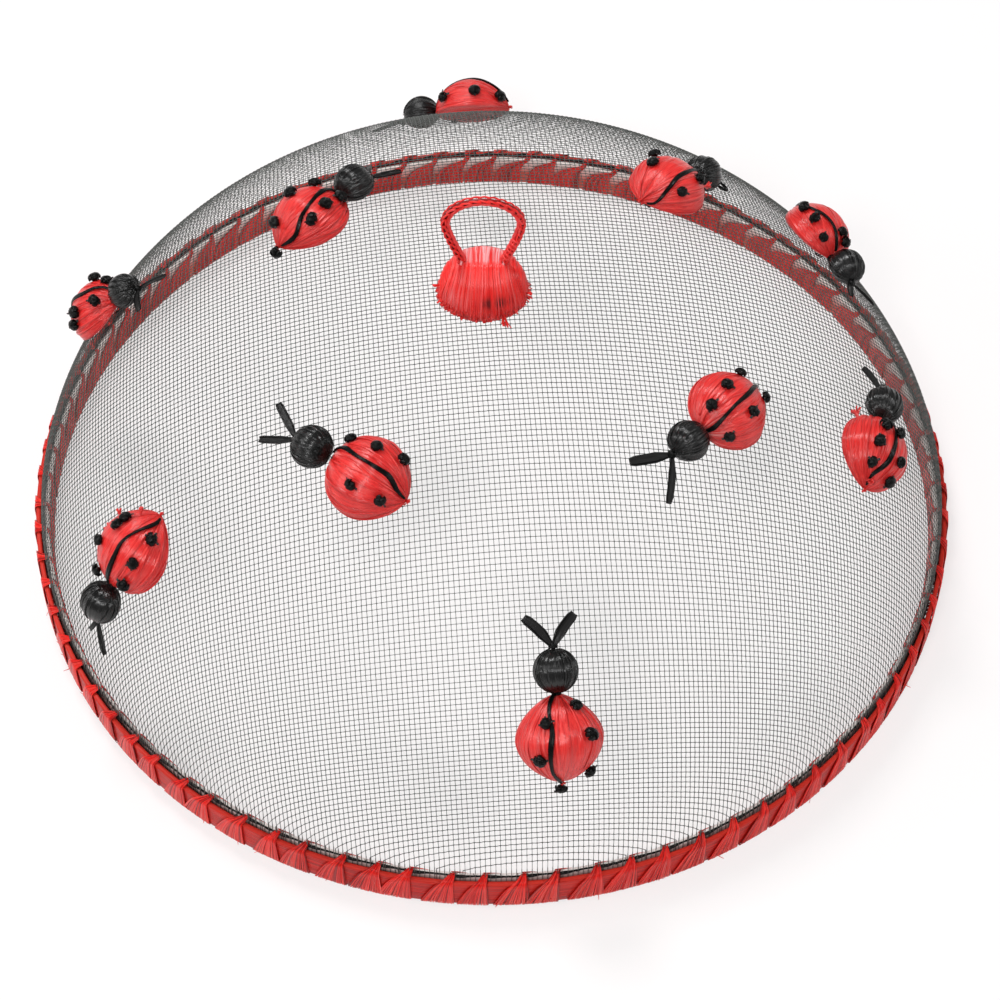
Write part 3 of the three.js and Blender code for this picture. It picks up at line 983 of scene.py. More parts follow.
@dataclass
class Rim:
    """Two bamboo hoops, the rolled hem of the screen and the raffia that is whipped over them."""

    finishes: Finishes
    radius: float = 150.0
    hoop_bottom: float = 0.7
    hoop_top: float = 12.5
    hoop_thickness: float = 1.5
    outer_hoop_radius: float = 149.3
    inner_hoop_radius: float = 146.6
    inside_radius: float = 144.4
    hem_radius: float = 146.6
    hem_height: float = 13.1
    hem_fibres: int = 360
    fan_count: int = 84
    strands: int = 26
    seed: int = 5

    def hoop(self, name: str, outer: float, finish: Material, wear_and_sheen_from: float) -> Piece:
        """Bends one strip of bamboo to a ring.

        Args:
            name: Name of the piece.
            outer: Its outer radius.
            finish: Its material.
            wear_and_sheen_from: Share of its height from which it grows paler to the top edge, with dye wear
                and a painted highlight.

        Returns:
            The hoop.
        """
        around = 300
        inner = outer - self.hoop_thickness
        soft = 0.25
        low, high = self.hoop_bottom, self.hoop_top
        levels = low + (high - low) * np.array([0.25, 0.45, 0.6, 0.75, 0.88])
        outside = [(outer - soft, low), (outer, low + soft)]
        outside += [(outer, level) for level in levels] + [(outer, high - soft), (outer - soft, high)]
        inside = [(inner + soft, high), (inner, high - soft)]
        inside += [(inner, level) for level in levels[::-1]] + [(inner, low + soft), (inner + soft, low)]
        outline = np.array(outside + inside)
        angle = round_turn(around)
        wave = 0.06 * np.sin(angle * 23) + 0.05 * np.sin(angle * 41 + 1)
        r = np.broadcast_to(outline[:, 0], (around, len(outline)))
        z = outline[:, 1] + wave[:, None] * (outline[:, 1] > high / 2)
        rings = xyz(r * np.cos(angle)[:, None], r * np.sin(angle)[:, None], z)
        grain = xyz(outer * angle[:, None], z, r - inner)
        # Paler towards the top edge: dye wear with a painted highlight.
        wear_and_sheen = np.clip(((z - low) / (high - low) - wear_and_sheen_from) / max(1 - wear_and_sheen_from, 0.05), 0, 1)
        sides = len(outline)
        faces = grid_faces(around, sides, closed=True)
        run = np.repeat(sideways(angle), sides, axis=0)
        draft = MeshDraft()
        draft.add(rings.reshape(-1, 3), faces, grain.reshape(-1, 3), run, wear_and_sheen.reshape(-1))
        return draft.build(name, finish)

    def apexes(self) -> Array:
        """Places the stitches that the fans spread from.

        Returns:
            An angle for each stitch and, last, the first one a full turn on.
        """
        pitch = TURN / self.fan_count
        jitter = np.random.default_rng(self.seed).uniform(-0.1, 0.1, self.fan_count + 1) * pitch
        jitter[-1] = jitter[0]
        return -np.arange(self.fan_count + 1) * pitch + jitter

    def hem(self) -> Piece:
        """Rolls the raw edge of the screen into a twisted cord of threads, full beside each stitch.

        Returns:
            The hem.
        """
        rng = np.random.default_rng(self.seed)
        draft = MeshDraft()
        angle = -round_turn(1680)
        stitches = self.apexes()
        nearest = np.abs(np.angle(np.exp(1j * (angle[:, None] - stitches[None, :-1] - 0.013)))).min(axis=1)
        full = bell(nearest, 0.016)
        out = outward(angle)
        for ply in range(4):
            twist = 150 * angle + ply * math.pi / 2
            swell = 0.3 * full + 0.1 * np.sin(angle * 61)
            r = self.hem_radius + (0.15 + 0.2 * full) * np.cos(twist) + swell
            z = self.hem_height + (0.15 + 0.22 * full) * np.sin(twist) + 0.3 * full
            path = out * r[:, None] + UP * z[:, None]
            facing = out * np.cos(twist)[:, None] + UP * np.sin(twist)[:, None]
            draft.tube(path, facing, 0.2 + 0.1 * full, 0.15 + 0.08 * full, closed=True, strand=float(ply))
        for _ in range(self.hem_fibres):
            a = rng.choice(stitches) + rng.uniform(-0.03, 0.05)
            way, along = outward(a), sideways(a)
            base = way * (self.hem_radius + rng.uniform(0, 0.6))
            base[2] = self.hem_height + rng.uniform(0, 0.5)
            lean = along * rng.uniform(-1.6, 1.6) + way * rng.uniform(-0.5, 0.4) + UP * rng.uniform(-0.2, 0.8)
            tip = base + unit(lean) * rng.uniform(0.7, 1.8)
            draft.tube(np.linspace(base, tip, 4), UP, 0.12, 0.12, strand=7.0)
        # The hem takes the darker screen finish: painted shade in the layered roll.
        return draft.build("rolled_hem", self.finishes.shade_darkened_screen)

    def fan_strand(self, apex: float, foot: float, next_apex: float, wobble: Array) -> tuple[Array, Array]:
        """Lays one strand of the whipping: down outside, under both hoops and up inside to the next stitch.

        Args:
            apex: Angle of the stitch that it leaves, in radians.
            foot: Angle at which it passes under the rim.
            next_apex: Angle of the stitch that it goes to.
            wobble: How far its top stands up, then how far it lies beside the bunch's middle outside
                and inside, in millimetres.

        Returns:
            Points and normals.
        """
        out_r, in_r = self.radius - 0.28, self.inside_radius + 0.3
        outside = [
            (0.0, 146.4, 13.95),
            (0.24, 148.4, 13.3 + wobble[0] * 0.1),
            (0.46, out_r - 0.1, 12.4),
            (0.64, out_r, 9.6),
            (0.8, out_r + 0.05, 6.2),
            (0.93, out_r, 3.0),
            (1.0, out_r - 0.1, 1.1),
        ]
        inside = [
            (1.0, in_r + 0.08, 1.2),
            (0.99, in_r, 3.2),
            (0.93, in_r, 6.2),
            (0.76, in_r, 9.2),
            (0.42, in_r + 0.05, 11.2),
            (0.1, in_r + 0.4, 12.4),
            (0.0, 145.8, 13.6),
        ]
        knots = []
        for number, (share, r, z) in enumerate(outside):
            beside = wobble[1] * max(1 - share * 3, 0) * (0.5 + 0.2 * number) / self.radius
            knots.append((apex + (foot - apex) * share + beside, r, z))
        knots += [(foot, out_r - 0.8, 0.33), (foot, (out_r + in_r) / 2, 0.22), (foot, in_r + 0.8, 0.33)]
        for number, (share, r, z) in enumerate(inside):
            beside = wobble[2] * max(1 - share * 2, 0) * (1.5 - 0.15 * number) / self.radius
            knots.append((next_apex + (foot - next_apex) * share + beside, r, z))
        angle, r, z = np.array(knots).T
        off = np.stack([r - (self.radius + self.inside_radius) / 2, (z - 7.0) * 0.35], axis=-1)
        away, rise = unit(off).T
        points = xyz(r * np.cos(angle), r * np.sin(angle), z)
        return points, unit(xyz(away * np.cos(angle), away * np.sin(angle), rise))

    def whipping(self) -> list[Piece]:
        """Whips raffia over both hoops, one bunch of strands through the screen for each fan.

        Returns:
            The quarters of the whipping.
        """
        rng = np.random.default_rng(self.seed + 1)
        pitch = TURN / self.fan_count
        stitches = self.apexes()
        quarters = []
        for quarter in range(4):
            draft = MeshDraft()
            for fan in range(self.fan_count * quarter // 4, self.fan_count * (quarter + 1) // 4):
                start = rng.uniform(-0.14, 0.02)
                width = rng.uniform(0.8, 0.98)
                for strand in range(self.strands):
                    share = (strand + rng.uniform(-0.3, 0.3)) / (self.strands - 1)
                    foot = stitches[fan] - (start + share * width) * pitch
                    self.whip(draft, rng, stitches[fan], foot, stitches[fan + 1], share)
                for _ in range(rng.integers(0, 3)):
                    place = start + width * rng.uniform(0.1, 1.0)
                    self.loose_end(draft, rng, stitches[fan] - place * pitch)
            quarters.append(draft.build(f"rim_whipping_{quarter + 1}", self.finishes.red_fibre))
        return quarters

    def whip(
        self, draft: MeshDraft, rng: Chance, apex: float, foot: float, next_apex: float, share: float
    ) -> None:
        """Adds one strand of a fan.

        Args:
            draft: Where the strand goes.
            rng: Source of chance.
            apex: Angle of the stitch that it leaves, in radians.
            foot: Angle at which it passes under the rim.
            next_apex: Angle of the stitch that it goes to.
            share: Its place in the fan, from 0 to 1.
        """
        steps = 34
        tops = (share - 0.5) * np.array([2.8, 1.8]) + rng.uniform(-0.2, 0.2, 2)
        wobble = np.array([rng.uniform(-1, 1), -tops[0], -tops[1]])
        knots, normals = self.fan_strand(apex, foot, next_apex, wobble)
        path = smooth_path(knots, steps)
        facing = unit(smooth_path(normals, steps))
        path = path + facing * rng.uniform(0.0, 0.16)
        run = np.linspace(0, 1, steps)
        taper = np.interp(run, [0, 0.1, 0.34, 0.66, 0.86, 1], [0.6, 0.75, 1, 1, 0.75, 0.6])
        # Painted highlight, paler where the strand bends over the outer hoop's top.
        wear_and_sheen = -rng.uniform(0, 0.4) * np.interp(run, [0, 0.24, 0.36, 0.5, 1], [0, 0.15, 1, 0, 0])
        deep = rng.choice([-0.12, 0.0, 0.3, 0.7], p=[0.2, 0.4, 0.25, 0.15])
        wide = rng.uniform(0.16, 0.34) * taper
        draft.tube(path, facing, wide, 0.1 + 0.04 * (1 - taper), strand=any_strand(rng), shade=wear_and_sheen + deep)

    def loose_end(self, draft: MeshDraft, rng: Chance, angle: float) -> None:
        """Lets one split fibre stand off the foot of a fan.

        Args:
            draft: Where the fibre goes.
            rng: Source of chance.
            angle: Where it leaves the rim.
        """
        out = outward(angle)
        base = out * (self.radius - 0.3) + UP * rng.uniform(0.8, 5.0)
        way = -sideways(angle) * rng.uniform(-0.4, 1.5) + out * rng.uniform(0.1, 0.5)
        way = unit(way - UP * rng.uniform(0.0, 0.9))
        tip = base + way * rng.uniform(0.8, 2.4)
        tip[2] = max(tip[2], 0.25)
        middle = (base + tip) / 2 + out * rng.uniform(0.0, 0.25)
        path = smooth_path(np.array([base, middle, tip]), 6)
        thin = np.linspace(0.2, 0.08, 6)
        draft.tube(path, out, thin, 0.06, strand=any_strand(rng), shade=-rng.uniform(0, 0.5))

    def build(self) -> dict[str, list[Piece]]:
        """Builds the rim.

        Returns:
            Its pieces by the node that they stand for.
        """
        outer = self.hoop("bent_outer_hoop", self.outer_hoop_radius, self.finishes.outer_bamboo, 0.93)
        inner = self.hoop("bent_inner_hoop", self.inner_hoop_radius, self.finishes.inner_bamboo, 0.45)
        return {
            "outer_hoop": [outer],
            "inner_hoop": [inner],
            "net_hem": [self.hem()],
            "rim_binding": self.whipping(),
        }


# Wound pieces


def strand_relief(rng: Chance, along: Array, angle: Array, waves: tuple[int, int], count: int) -> Array:
    """Makes the low ridges that strands leave on a wound piece.

    Args:
        rng: Source of chance.
        along: Place from pole to pole, from 1 to -1.
        angle: Place round the winding, in radians.
        waves: Fewest and most ridges round the piece.
        count: How many sets of ridges are laid over each other.

    Returns:
        A height of about -1 to 1.
    """
    total = np.zeros(np.broadcast(along, angle).shape)
    for _ in range(count):
        number = rng.integers(*waves)
        drift = rng.uniform(-1.2, 1.2)
        fade = 0.6 + 0.4 * np.sin(along * rng.uniform(1, 4) + rng.uniform(0, 6))
        total = total + np.sin(number * angle + drift * along * 2 + rng.uniform(0, TURN)) * fade
    return total / math.sqrt(count)


def lapped_wraps(rng: Chance, along: Array, angle: Array, count: int) -> Array:
    """Makes the steps of flat strands that lie half over each other.

    Args:
        rng: Source of chance.
        along: Place from pole to pole, from 1 to -1.
        angle: Place round the winding, in radians.
        count: How many strands lie round the piece.

    Returns:
        A height from 0, under the next strand's edge, to 1 at that edge.
    """
    phases = rng.uniform(0, TURN, 3)
    uneven = 0.5 * np.sin(angle + phases[0]) + 0.3 * np.sin(2 * angle + phases[1])
    uneven = uneven + 0.12 * np.sin(5 * angle + phases[2])
    lean = rng.uniform(-0.25, 0.25) * along + 0.08 * np.sin(along * 3 + phases[0])
    place = np.mod((angle + lean) * count / TURN + uneven, 1.0)
    return np.where(place < 0.86, place / 0.86, (1 - place) / 0.14)


def cut_tuft(
    draft: MeshDraft,
    rng: Chance,
    base: Array,
    way: Array,
    count: int,
    length: float,
    spread: float,
    width: float = 0.5,
    shade: float = 0.3,
) -> None:
    """Adds a tuft of short cut strands.

    Args:
        draft: Where the strands go.
        rng: Source of chance.
        base: Where the tuft is tied.
        way: Where it points.
        count: How many strands it has.
        length: How long they are.
        spread: How far they lean apart.
        width: Half width of a strand.
        shade: Painted shade at its root, fading out towards the tip.
    """
    way = unit(way)
    for _ in range(count):
        lean = unit(way + rng.normal(0, spread, 3))
        reach = length * rng.uniform(0.65, 1.15)
        middle = base + unit(way + lean) * reach * 0.5
        path = smooth_path(np.array([base - way * 0.8, base, middle, base + lean * reach]), 7)
        facing = unit(np.cross(lean, rng.normal(0, 1, 3)))
        wide = np.linspace(0.6, 1.0, 7) * width
        painted_light = np.linspace(shade, 0.0, 7)
        draft.tube(path, facing, wide, 0.11, strand=any_strand(rng), shade=painted_light)


def raffia_knot(draft: MeshDraft, rng: Chance, centre: Array, normal: Array, size: float) -> None:
    """Ties one knot of flat raffia, with its cut ends.

    Args:
        draft: Where the knot goes.
        rng: Source of chance.
        centre: Its middle.
        normal: Which way it stands.
        size: Half of its width.
    """
    normal = unit(normal)
    side = unit(np.cross(normal, rng.normal(0, 1, 3)))
    other = np.cross(normal, side)
    swing = np.linspace(-1.9, 1.9, 15)
    for number in range(4):
        turn = number * 0.8 + rng.uniform(-0.3, 0.3)
        way = side * math.cos(turn) + other * math.sin(turn)
        beside = np.cross(normal, way)
        reach = size * rng.uniform(0.74, 1.04)
        across, lift = np.sin(swing) * reach, np.cos(swing) * reach * 0.78
        offset = rng.uniform(-0.35, 0.35) * size * np.cos(swing * 0.8)
        path = centre + across[:, None] * way + lift[:, None] * normal + offset[:, None] * beside
        wide = size * rng.uniform(0.36, 0.5) * (1 - 0.2 * np.cos(swing * 3))
        draft.tube(path, unit(path - centre), wide, size * 0.13, sides=6, strand=any_strand(rng))
    core = np.linspace(centre - side * size * 0.72, centre + side * size * 0.72, 7)
    girth = np.array([0.2, 0.5, 0.62, 0.66, 0.62, 0.5, 0.2]) * size
    draft.tube(core, normal, girth, girth * 0.85, sides=8, strand=3.0)
    for way in (side, -side, other)[: rng.integers(2, 4)]:
        lean = unit(way + normal * rng.uniform(-0.2, 0.8) + other * rng.uniform(-0.6, 0.6))
        base = centre + lean * size * 0.5
        path = np.linspace(base, base + lean * size * rng.uniform(0.6, 1.0), 5)
        path = path - normal * (np.linspace(0, 1, 5) ** 2 * size * 0.25)[:, None]
        facing = unit(np.cross(lean, side + 0.3 * other))
        draft.tube(path, facing, size * 0.26, size * 0.1, strand=any_strand(rng), shade=-0.15)


# Ladybirds


@dataclass(frozen=True)
class Antenna:
    """One end of the strip that is tied to a head."""

    angle: float
    length: float
    half_width: float = 1.25
    looped: bool = False


@dataclass(frozen=True)
class Tuft:
    """A bunch of loose red ends on a body."""

    place: float
    side: float
    length: float = 3.0
    width: float = 0.6


@dataclass(frozen=True)
class Sewn:
    """Where one ladybird is sewn on and how its maker tied it.

    The line, the spots and the tufts are places on the back: a share of the half length, from the tail at -1
    to the neck at 1, and degrees off the top. The nose is where the winding's pole points, in degrees off the
    heading.
    """

    x: float
    y: float
    heading: float
    size: float
    line: tuple[tuple[float, float], ...]
    spots: tuple[tuple[float, float], ...]
    antennae: tuple[Antenna, ...]
    tufts: tuple[Tuft, ...] = ()
    nose: float = 0.0
    neck_pinch: float = 0.0
    # neck_sheen: how much painted sheen pales the crumples near the neck.
    neck_sheen: float = 0.0
    tail_knot: float | None = None
    head_knot: float | None = None


@dataclass
class Ladybird:
    """A wound body and head with knotted spots, a line along its back and two antennae."""

    number: int
    sewn: Sewn
    dome: DomeShape
    finishes: Finishes
    half_length: float = 12.6
    half_width: float = 12.2
    rise: float = 10.6
    drop: float = 2.0
    head_radius: float = 6.2
    head_drop: float = 4.6
    seat_gap: float = 0.3
    neck_round: float = 2.2
    tail_pinch: float = 1.85
    body_wraps: int = 15
    body_strands: int = 34
    head_wraps: int = 17
    head_strands: int = 26

    def body_point(self, along: Values, angle: Values) -> Array:
        """Gives a point of the body's skin.

        Args:
            along: From 1 at the neck to -1 at the tail.
            angle: Angle off the top, in radians.

        Returns:
            The point in the body's own frame.
        """
        pinch = self.sewn.neck_pinch
        full_neck = np.sqrt(np.maximum(1 - np.abs(along) ** self.neck_round, 0))
        pinched_neck = np.maximum(1 - np.abs(along) ** 1.7, 0) ** 0.8
        neck = full_neck * (1 - pinch) + pinched_neck * pinch
        tail = np.maximum(1 - np.abs(along) ** self.tail_pinch, 0) ** 0.68
        wide = np.where(along > 0, neck, tail)
        rise = np.where(np.cos(angle) > 0, self.rise, self.drop)
        across = self.half_width * wide * np.sin(angle)
        return self.sewn.size * xyz(self.half_length * along, across, rise * wide * np.cos(angle))

    def body_normal(self, along: Values, angle: Values) -> Array:
        """Gives the direction straight off the body's skin.

        Args:
            along: From 1 at the neck to -1 at the tail.
            angle: Angle off the top, in radians.

        Returns:
            Directions of length one.
        """
        along = np.clip(along, -0.985, 0.985)
        nudge = 1e-3
        run = self.body_point(along + nudge, angle) - self.body_point(along - nudge, angle)
        turn = self.body_point(along, angle + nudge) - self.body_point(along, angle - nudge)
        return unit(-np.cross(turn, run))

    def poles(self) -> Array:
        """Gives the body's ends, first the neck and then the tail."""
        return self.body_point(np.array([1.0, -1.0]), 0.0)

    def body(self, rng: Chance, frame: Matrix) -> Piece:
        """Winds the body.

        Args:
            rng: Source of chance.
            frame: Where it is sewn.

        Returns:
            The body.
        """
        draft = MeshDraft()
        rings, around = 84, 220
        along = np.cos(np.linspace(0.06, math.pi - 0.06, rings))[:, None]
        angle = round_turn(around)[None, :]
        normal = self.body_normal(along, angle)
        wraps = lapped_wraps(rng, along, angle, self.body_wraps)
        fine = strand_relief(rng, along, angle, (30, 64), 6)
        folds = strand_relief(rng, along, angle, (7, 19), 4)
        crumple = strand_relief(rng, along * 5, angle, (4, 12), 5)
        near_neck, near_tail = bell(1 - along, 0.26), bell(1 + along, 0.3)
        wide = np.sqrt(np.maximum(1 - along**2, 0.02))
        gathered = near_neck + near_tail
        height = wide * (0.24 * wraps + 0.04 * fine + 0.1 * crumple + folds * (0.1 + 0.65 * gathered)) - 0.12
        points = self.body_point(along, angle) + normal * height[..., None]
        # Painted shade in the gathered creases at the neck and tail and under each lapped strand's edge;
        # neck_sheen paints pale sheen on the crumples near the neck.
        shade = np.clip(-folds - 0.25, 0, 1) * 0.8 * np.clip(gathered, 0, 1)
        shade = shade + 0.8 * np.clip(0.2 - wraps, 0, 1)
        shade = shade - self.sewn.neck_sheen * near_neck * np.clip(folds + 0.3 * fine, 0, 1)
        radius = 0.35 * self.half_width * wide + 0.65 * self.half_width
        grain = xyz(along * self.half_length, radius * np.cos(angle), radius * np.sin(angle))
        neck, tail = self.poles()
        draft.skin(points[::-1], np.array([tail, neck]), grain[::-1], shade[::-1])
        for _ in range(self.body_strands):
            self.body_strand(draft, rng)
        cut_tuft(draft, rng, tail + 0.4 * AHEAD, np.array([-1.0, 0, 0.25]), 9, 1.5, 0.35)
        cut_tuft(draft, rng, neck - 0.6 * AHEAD, np.array([0.6, 0, 0.4]), 6, 1.3, 0.6)
        for tuft in self.sewn.tufts:
            spot = tuft.place, math.radians(tuft.side)
            way = self.body_normal(*spot) + 0.6 * tuft.place * AHEAD
            cut_tuft(draft, rng, self.body_point(*spot), way, 8, tuft.length, 0.3, tuft.width, shade=-0.2)
        return draft.build(f"wound_body_{self.number:02d}", self.finishes.red, frame)

    def body_strand(self, draft: MeshDraft, rng: Chance) -> None:
        """Lays one loose strand from the neck to the tail.

        Args:
            draft: Where it goes.
            rng: Source of chance.
        """
        centre = rng.uniform(0, TURN)
        start, end = math.cos(rng.uniform(0.08, 0.9)), -math.cos(rng.uniform(0.08, 0.9))
        along = np.cos(np.linspace(math.acos(start), math.acos(end), 30))
        drift = centre + rng.uniform(-0.14, 0.14) * along + rng.uniform(-0.05, 0.05) * np.sin(4 * along)
        points = self.body_point(along, drift)
        normal = self.body_normal(along, drift)
        fade = np.sin(np.linspace(0.12, math.pi - 0.12, 30)) ** 0.5
        wide = rng.uniform(0.3, 0.95) * fade * np.sqrt(np.maximum(1 - along**2, 0.06))
        points = points + normal * rng.uniform(0.02, 0.12)
        strand, shade = any_strand(rng), rng.uniform(-0.08, 0.15)
        draft.tube(points, normal, wide, 0.12 * fade, sides=6, strand=strand, shade=shade)

    def stitching(self, rng: Chance, frame: Matrix) -> Piece:
        """Sews the line along the back, the spots, and the stitches under the screen.

        Args:
            rng: Source of chance.
            frame: Where the body is sewn.

        Returns:
            The stitching.
        """
        draft = MeshDraft()
        steps = 50
        along = np.cos(np.linspace(0.26, math.pi - 0.3, steps))
        places = np.array(self.sewn.line)
        order = np.argsort(places[:, 0])
        angle = np.radians(np.interp(along, places[order, 0], places[order, 1]))
        angle = np.convolve(np.pad(angle, 3, mode="edge"), np.full(7, 1 / 7), mode="valid")
        normal = self.body_normal(along, angle)
        path = self.body_point(along, angle) + normal * 0.4
        twist = 0.5 * np.sin(np.linspace(0, rng.uniform(5, 9), steps) + rng.uniform(0, 6))
        across = unit(np.cross(tangents(path), normal))
        facing = unit(normal * np.cos(twist)[:, None] + across * np.sin(twist)[:, None])
        width = 0.72 + 0.16 * np.sin(np.linspace(0, 11, steps) + rng.uniform(0, 6))
        width = width * np.interp(np.arange(steps), [0, 4, steps - 8, steps - 1], [0.75, 1, 1, 0.4])
        draft.tube(path, facing, width, 0.3, sides=8, strand=1.0)
        draft.tube(path + across * 0.3 + normal * 0.12, facing, width * 0.4, 0.26, sides=6, strand=2.0)
        for place, side in self.sewn.spots:
            spot = place, math.radians(side)
            out = self.body_normal(*spot)
            size = rng.uniform(1.7, 2.05)
            raffia_knot(draft, rng, self.body_point(*spot) + out * size * 0.5, out, size)
        neck, tail = self.poles()
        if self.sewn.tail_knot is not None:
            swing = math.radians(self.sewn.tail_knot)
            way = np.array([-math.cos(swing), math.sin(swing), 0.1])
            raffia_knot(draft, rng, tail + way * 1.9 - 0.4 * UP, way, 1.9)
        t = np.linspace(0, 2 * TURN, 40)
        lashing = xyz(0.25 * np.sin(t / 2), 1.25 * np.cos(t), 1.25 * np.sin(t))
        draft.tube(neck + lashing, AHEAD, 0.3, 0.3, sides=6, strand=4.0)
        self.under_stitches(draft)
        return draft.build(f"back_stitching_{self.number:02d}", self.finishes.knotted_black, frame)

    def under_stitches(self, draft: MeshDraft) -> None:
        """Adds the stitches that hold the body from inside the dome.

        Args:
            draft: Where the stitches go.
        """
        under = -(self.drop * self.sewn.size + self.seat_gap) - 0.85
        for place in (0.55, -0.6):
            middle = np.array([self.half_length * place, 0, under])
            for lean in (0.5, -0.35):
                half = np.array([lean * 1.6, 1.5, 0.0])
                tick = np.linspace(middle - half, middle + half, 6)
                tick[[0, -1], 2] += 0.8
                draft.tube(tick, UP, 0.34, 0.2, strand=5.0)

    def head_height(self) -> float:
        """Gives the height of the head's middle over the cloth."""
        return self.head_drop * self.sewn.size + self.seat_gap

    def head_seat(self) -> Matrix:
        """Finds where the head sits, in front of its body.

        Returns:
            The head's frame on the cloth.
        """
        size = self.sewn.size
        place = self.dome.seat(self.sewn.x, self.sewn.y, self.sewn.heading)
        neck = place @ Vector((self.half_length * size, 0, self.head_height()))
        wanted = self.head_radius * size + 2 * self.seat_gap
        reach = self.half_length * size + wanted
        seat = place
        for _ in range(8):
            foot = place @ Vector((reach, 0, 0))
            seat = self.dome.seat(foot.x, foot.y, self.sewn.heading)
            centre = seat @ Vector((0, 0, self.head_height()))
            reach += wanted - (centre - neck).length
        return seat

    def head(self, rng: Chance, frame: Matrix) -> Piece:
        """Winds the head, its strands gathered at the nose and at the neck.

        Args:
            rng: Source of chance.
            frame: Where the head sits, its middle at the frame's origin.

        Returns:
            The head.
        """
        draft = MeshDraft()
        radius = self.head_radius * self.sewn.size
        rings, around = 60, 180
        polar = np.linspace(0.07, math.pi - 0.07, rings)[:, None]
        angle = round_turn(around)[None, :]
        along = np.cos(polar)
        wraps = lapped_wraps(rng, along, angle, self.head_wraps)
        fine = strand_relief(rng, along, angle, (22, 52), 6)
        folds = strand_relief(rng, along, angle, (8, 15), 3)
        near_nose = bell(polar, 0.45) + 0.7 * bell(math.pi - polar, 0.35)
        relief = 0.24 * wraps + 0.06 * fine + 0.3 * folds * near_nose
        reach = radius - 0.2 + np.sin(polar) * relief - 0.4 * near_nose
        ahead, girth = along * (1 + 0.05 * near_nose), np.sin(polar)
        points = reach[..., None] * xyz(ahead, girth * np.sin(angle), girth * np.cos(angle))
        grain = xyz(polar * radius, 5.5 * np.cos(angle), 5.5 * np.sin(angle))
        # Painted shade in the creases gathered at the poles.
        shade = np.clip(-folds, 0, 1) * 0.5 * near_nose
        turn = np.array(Matrix.Rotation(math.radians(self.sewn.nose), 3, "Z"))
        ends = np.array([[-radius + 0.5, 0, 0], [radius - 0.45, 0, 0]])
        draft.skin(points[::-1] @ turn.T, ends @ turn.T, grain[::-1], shade[::-1])
        for _ in range(self.head_strands):
            self.head_strand(draft, rng, radius, turn)
        self.press(draft)
        return draft.build(f"wound_head_{self.number:02d}", self.finishes.black, frame)

    def press(self, draft: MeshDraft) -> None:
        """Presses the head's lower half flatter, where it sits on the cloth.

        Args:
            draft: The head's points, its middle at the origin.
        """
        for points in draft.points:
            low = points[:, 2] < 0
            points[low, 2] *= self.head_drop / self.head_radius

    def head_strand(self, draft: MeshDraft, rng: Chance, radius: float, turn: Array) -> None:
        """Lays one strand over the head from pole to pole.

        Args:
            draft: Where it goes.
            rng: Source of chance.
            radius: Radius of the head.
            turn: How the winding is turned.
        """
        polar = np.linspace(rng.uniform(0.12, 0.5), math.pi - rng.uniform(0.12, 0.6), 22)
        angle = rng.uniform(0, TURN) + rng.uniform(-0.12, 0.12) * np.cos(polar)
        out = xyz(np.cos(polar), np.sin(polar) * np.sin(angle), np.sin(polar) * np.cos(angle)) @ turn.T
        fade = np.sin(np.linspace(0.15, math.pi - 0.15, 22)) ** 0.5
        wide = rng.uniform(0.2, 0.5) * np.sin(polar) * fade
        lift = rng.uniform(-0.06, 0.06)
        draft.tube(out * (radius + lift), out, wide, 0.13 * fade, sides=6, strand=any_strand(rng))

    def antennae(self, rng: Chance, frame: Matrix) -> Piece:
        """Ties the strip of raffia to the nose, its ends standing off as antennae.

        Args:
            rng: Source of chance.
            frame: The head's frame on the cloth.

        Returns:
            The antennae.
        """
        draft = MeshDraft()
        size = self.sewn.size
        root = np.array([self.head_radius * size + 0.1, 0.0, 3.6])
        share = np.linspace(0, 1, 26)
        for antenna in self.sewn.antennae:
            turn = math.radians(antenna.angle)
            way, side = outward(turn), sideways(turn)
            if antenna.looped:
                swing = share * TURN
                reach = antenna.length * (1 - np.cos(swing)) / 2
                beside = antenna.half_width * 1.3 * np.sin(swing) * np.sin(swing / 2)
                fall = -0.8 * np.sin(swing / 2)
                path = root + way * reach[:, None] + side * beside[:, None] + UP * fall[:, None]
                draft.tube(path, UP, 0.62, 0.5, sides=6, strand=1.0)
                continue
            bow = rng.uniform(-0.6, 0.6) * np.sin(share * math.pi)
            fall = -0.8 * share + 0.25 * np.sin(share * 3)
            path = root + way * (share * antenna.length)[:, None] + side * bow[:, None] + UP * fall[:, None]
            wide = antenna.half_width * np.interp(share, [0, 0.1, 0.4, 0.88, 1], [0.35, 0.55, 1, 0.95, 0.7])
            lean = unit(UP + side * rng.uniform(-0.25, 0.25))
            cup = rng.uniform(0.2, 0.55)
            draft.ribbon(path, lean, wide, cup, 0.24, strand=any_strand(rng), shade=-0.06)
            for lane in (-0.75, 0.7):
                edge = side * (lane * wide)[:, None] + lean * (0.5 * wide * 0.4)[:, None]
                draft.tube(path + edge, lean, 0.26, 0.2, sides=6, strand=any_strand(rng))
        raffia_knot(draft, rng, root + np.array([0.1, 0.0, 0.1]), np.array([1.0, 0, 0.2]), 1.3)
        if self.sewn.head_knot is not None:
            turn = math.radians(self.sewn.head_knot)
            spot = np.array([-0.72, 0.66 * math.sin(turn), 0.66 * math.cos(turn)]) * (self.head_radius * size)
            spot = spot + UP * self.head_height()
            raffia_knot(draft, rng, spot, np.array([-0.5, math.sin(turn), math.cos(turn)]), 1.6)
        return draft.build(f"tied_antennae_{self.number:02d}", self.finishes.knotted_black, frame)

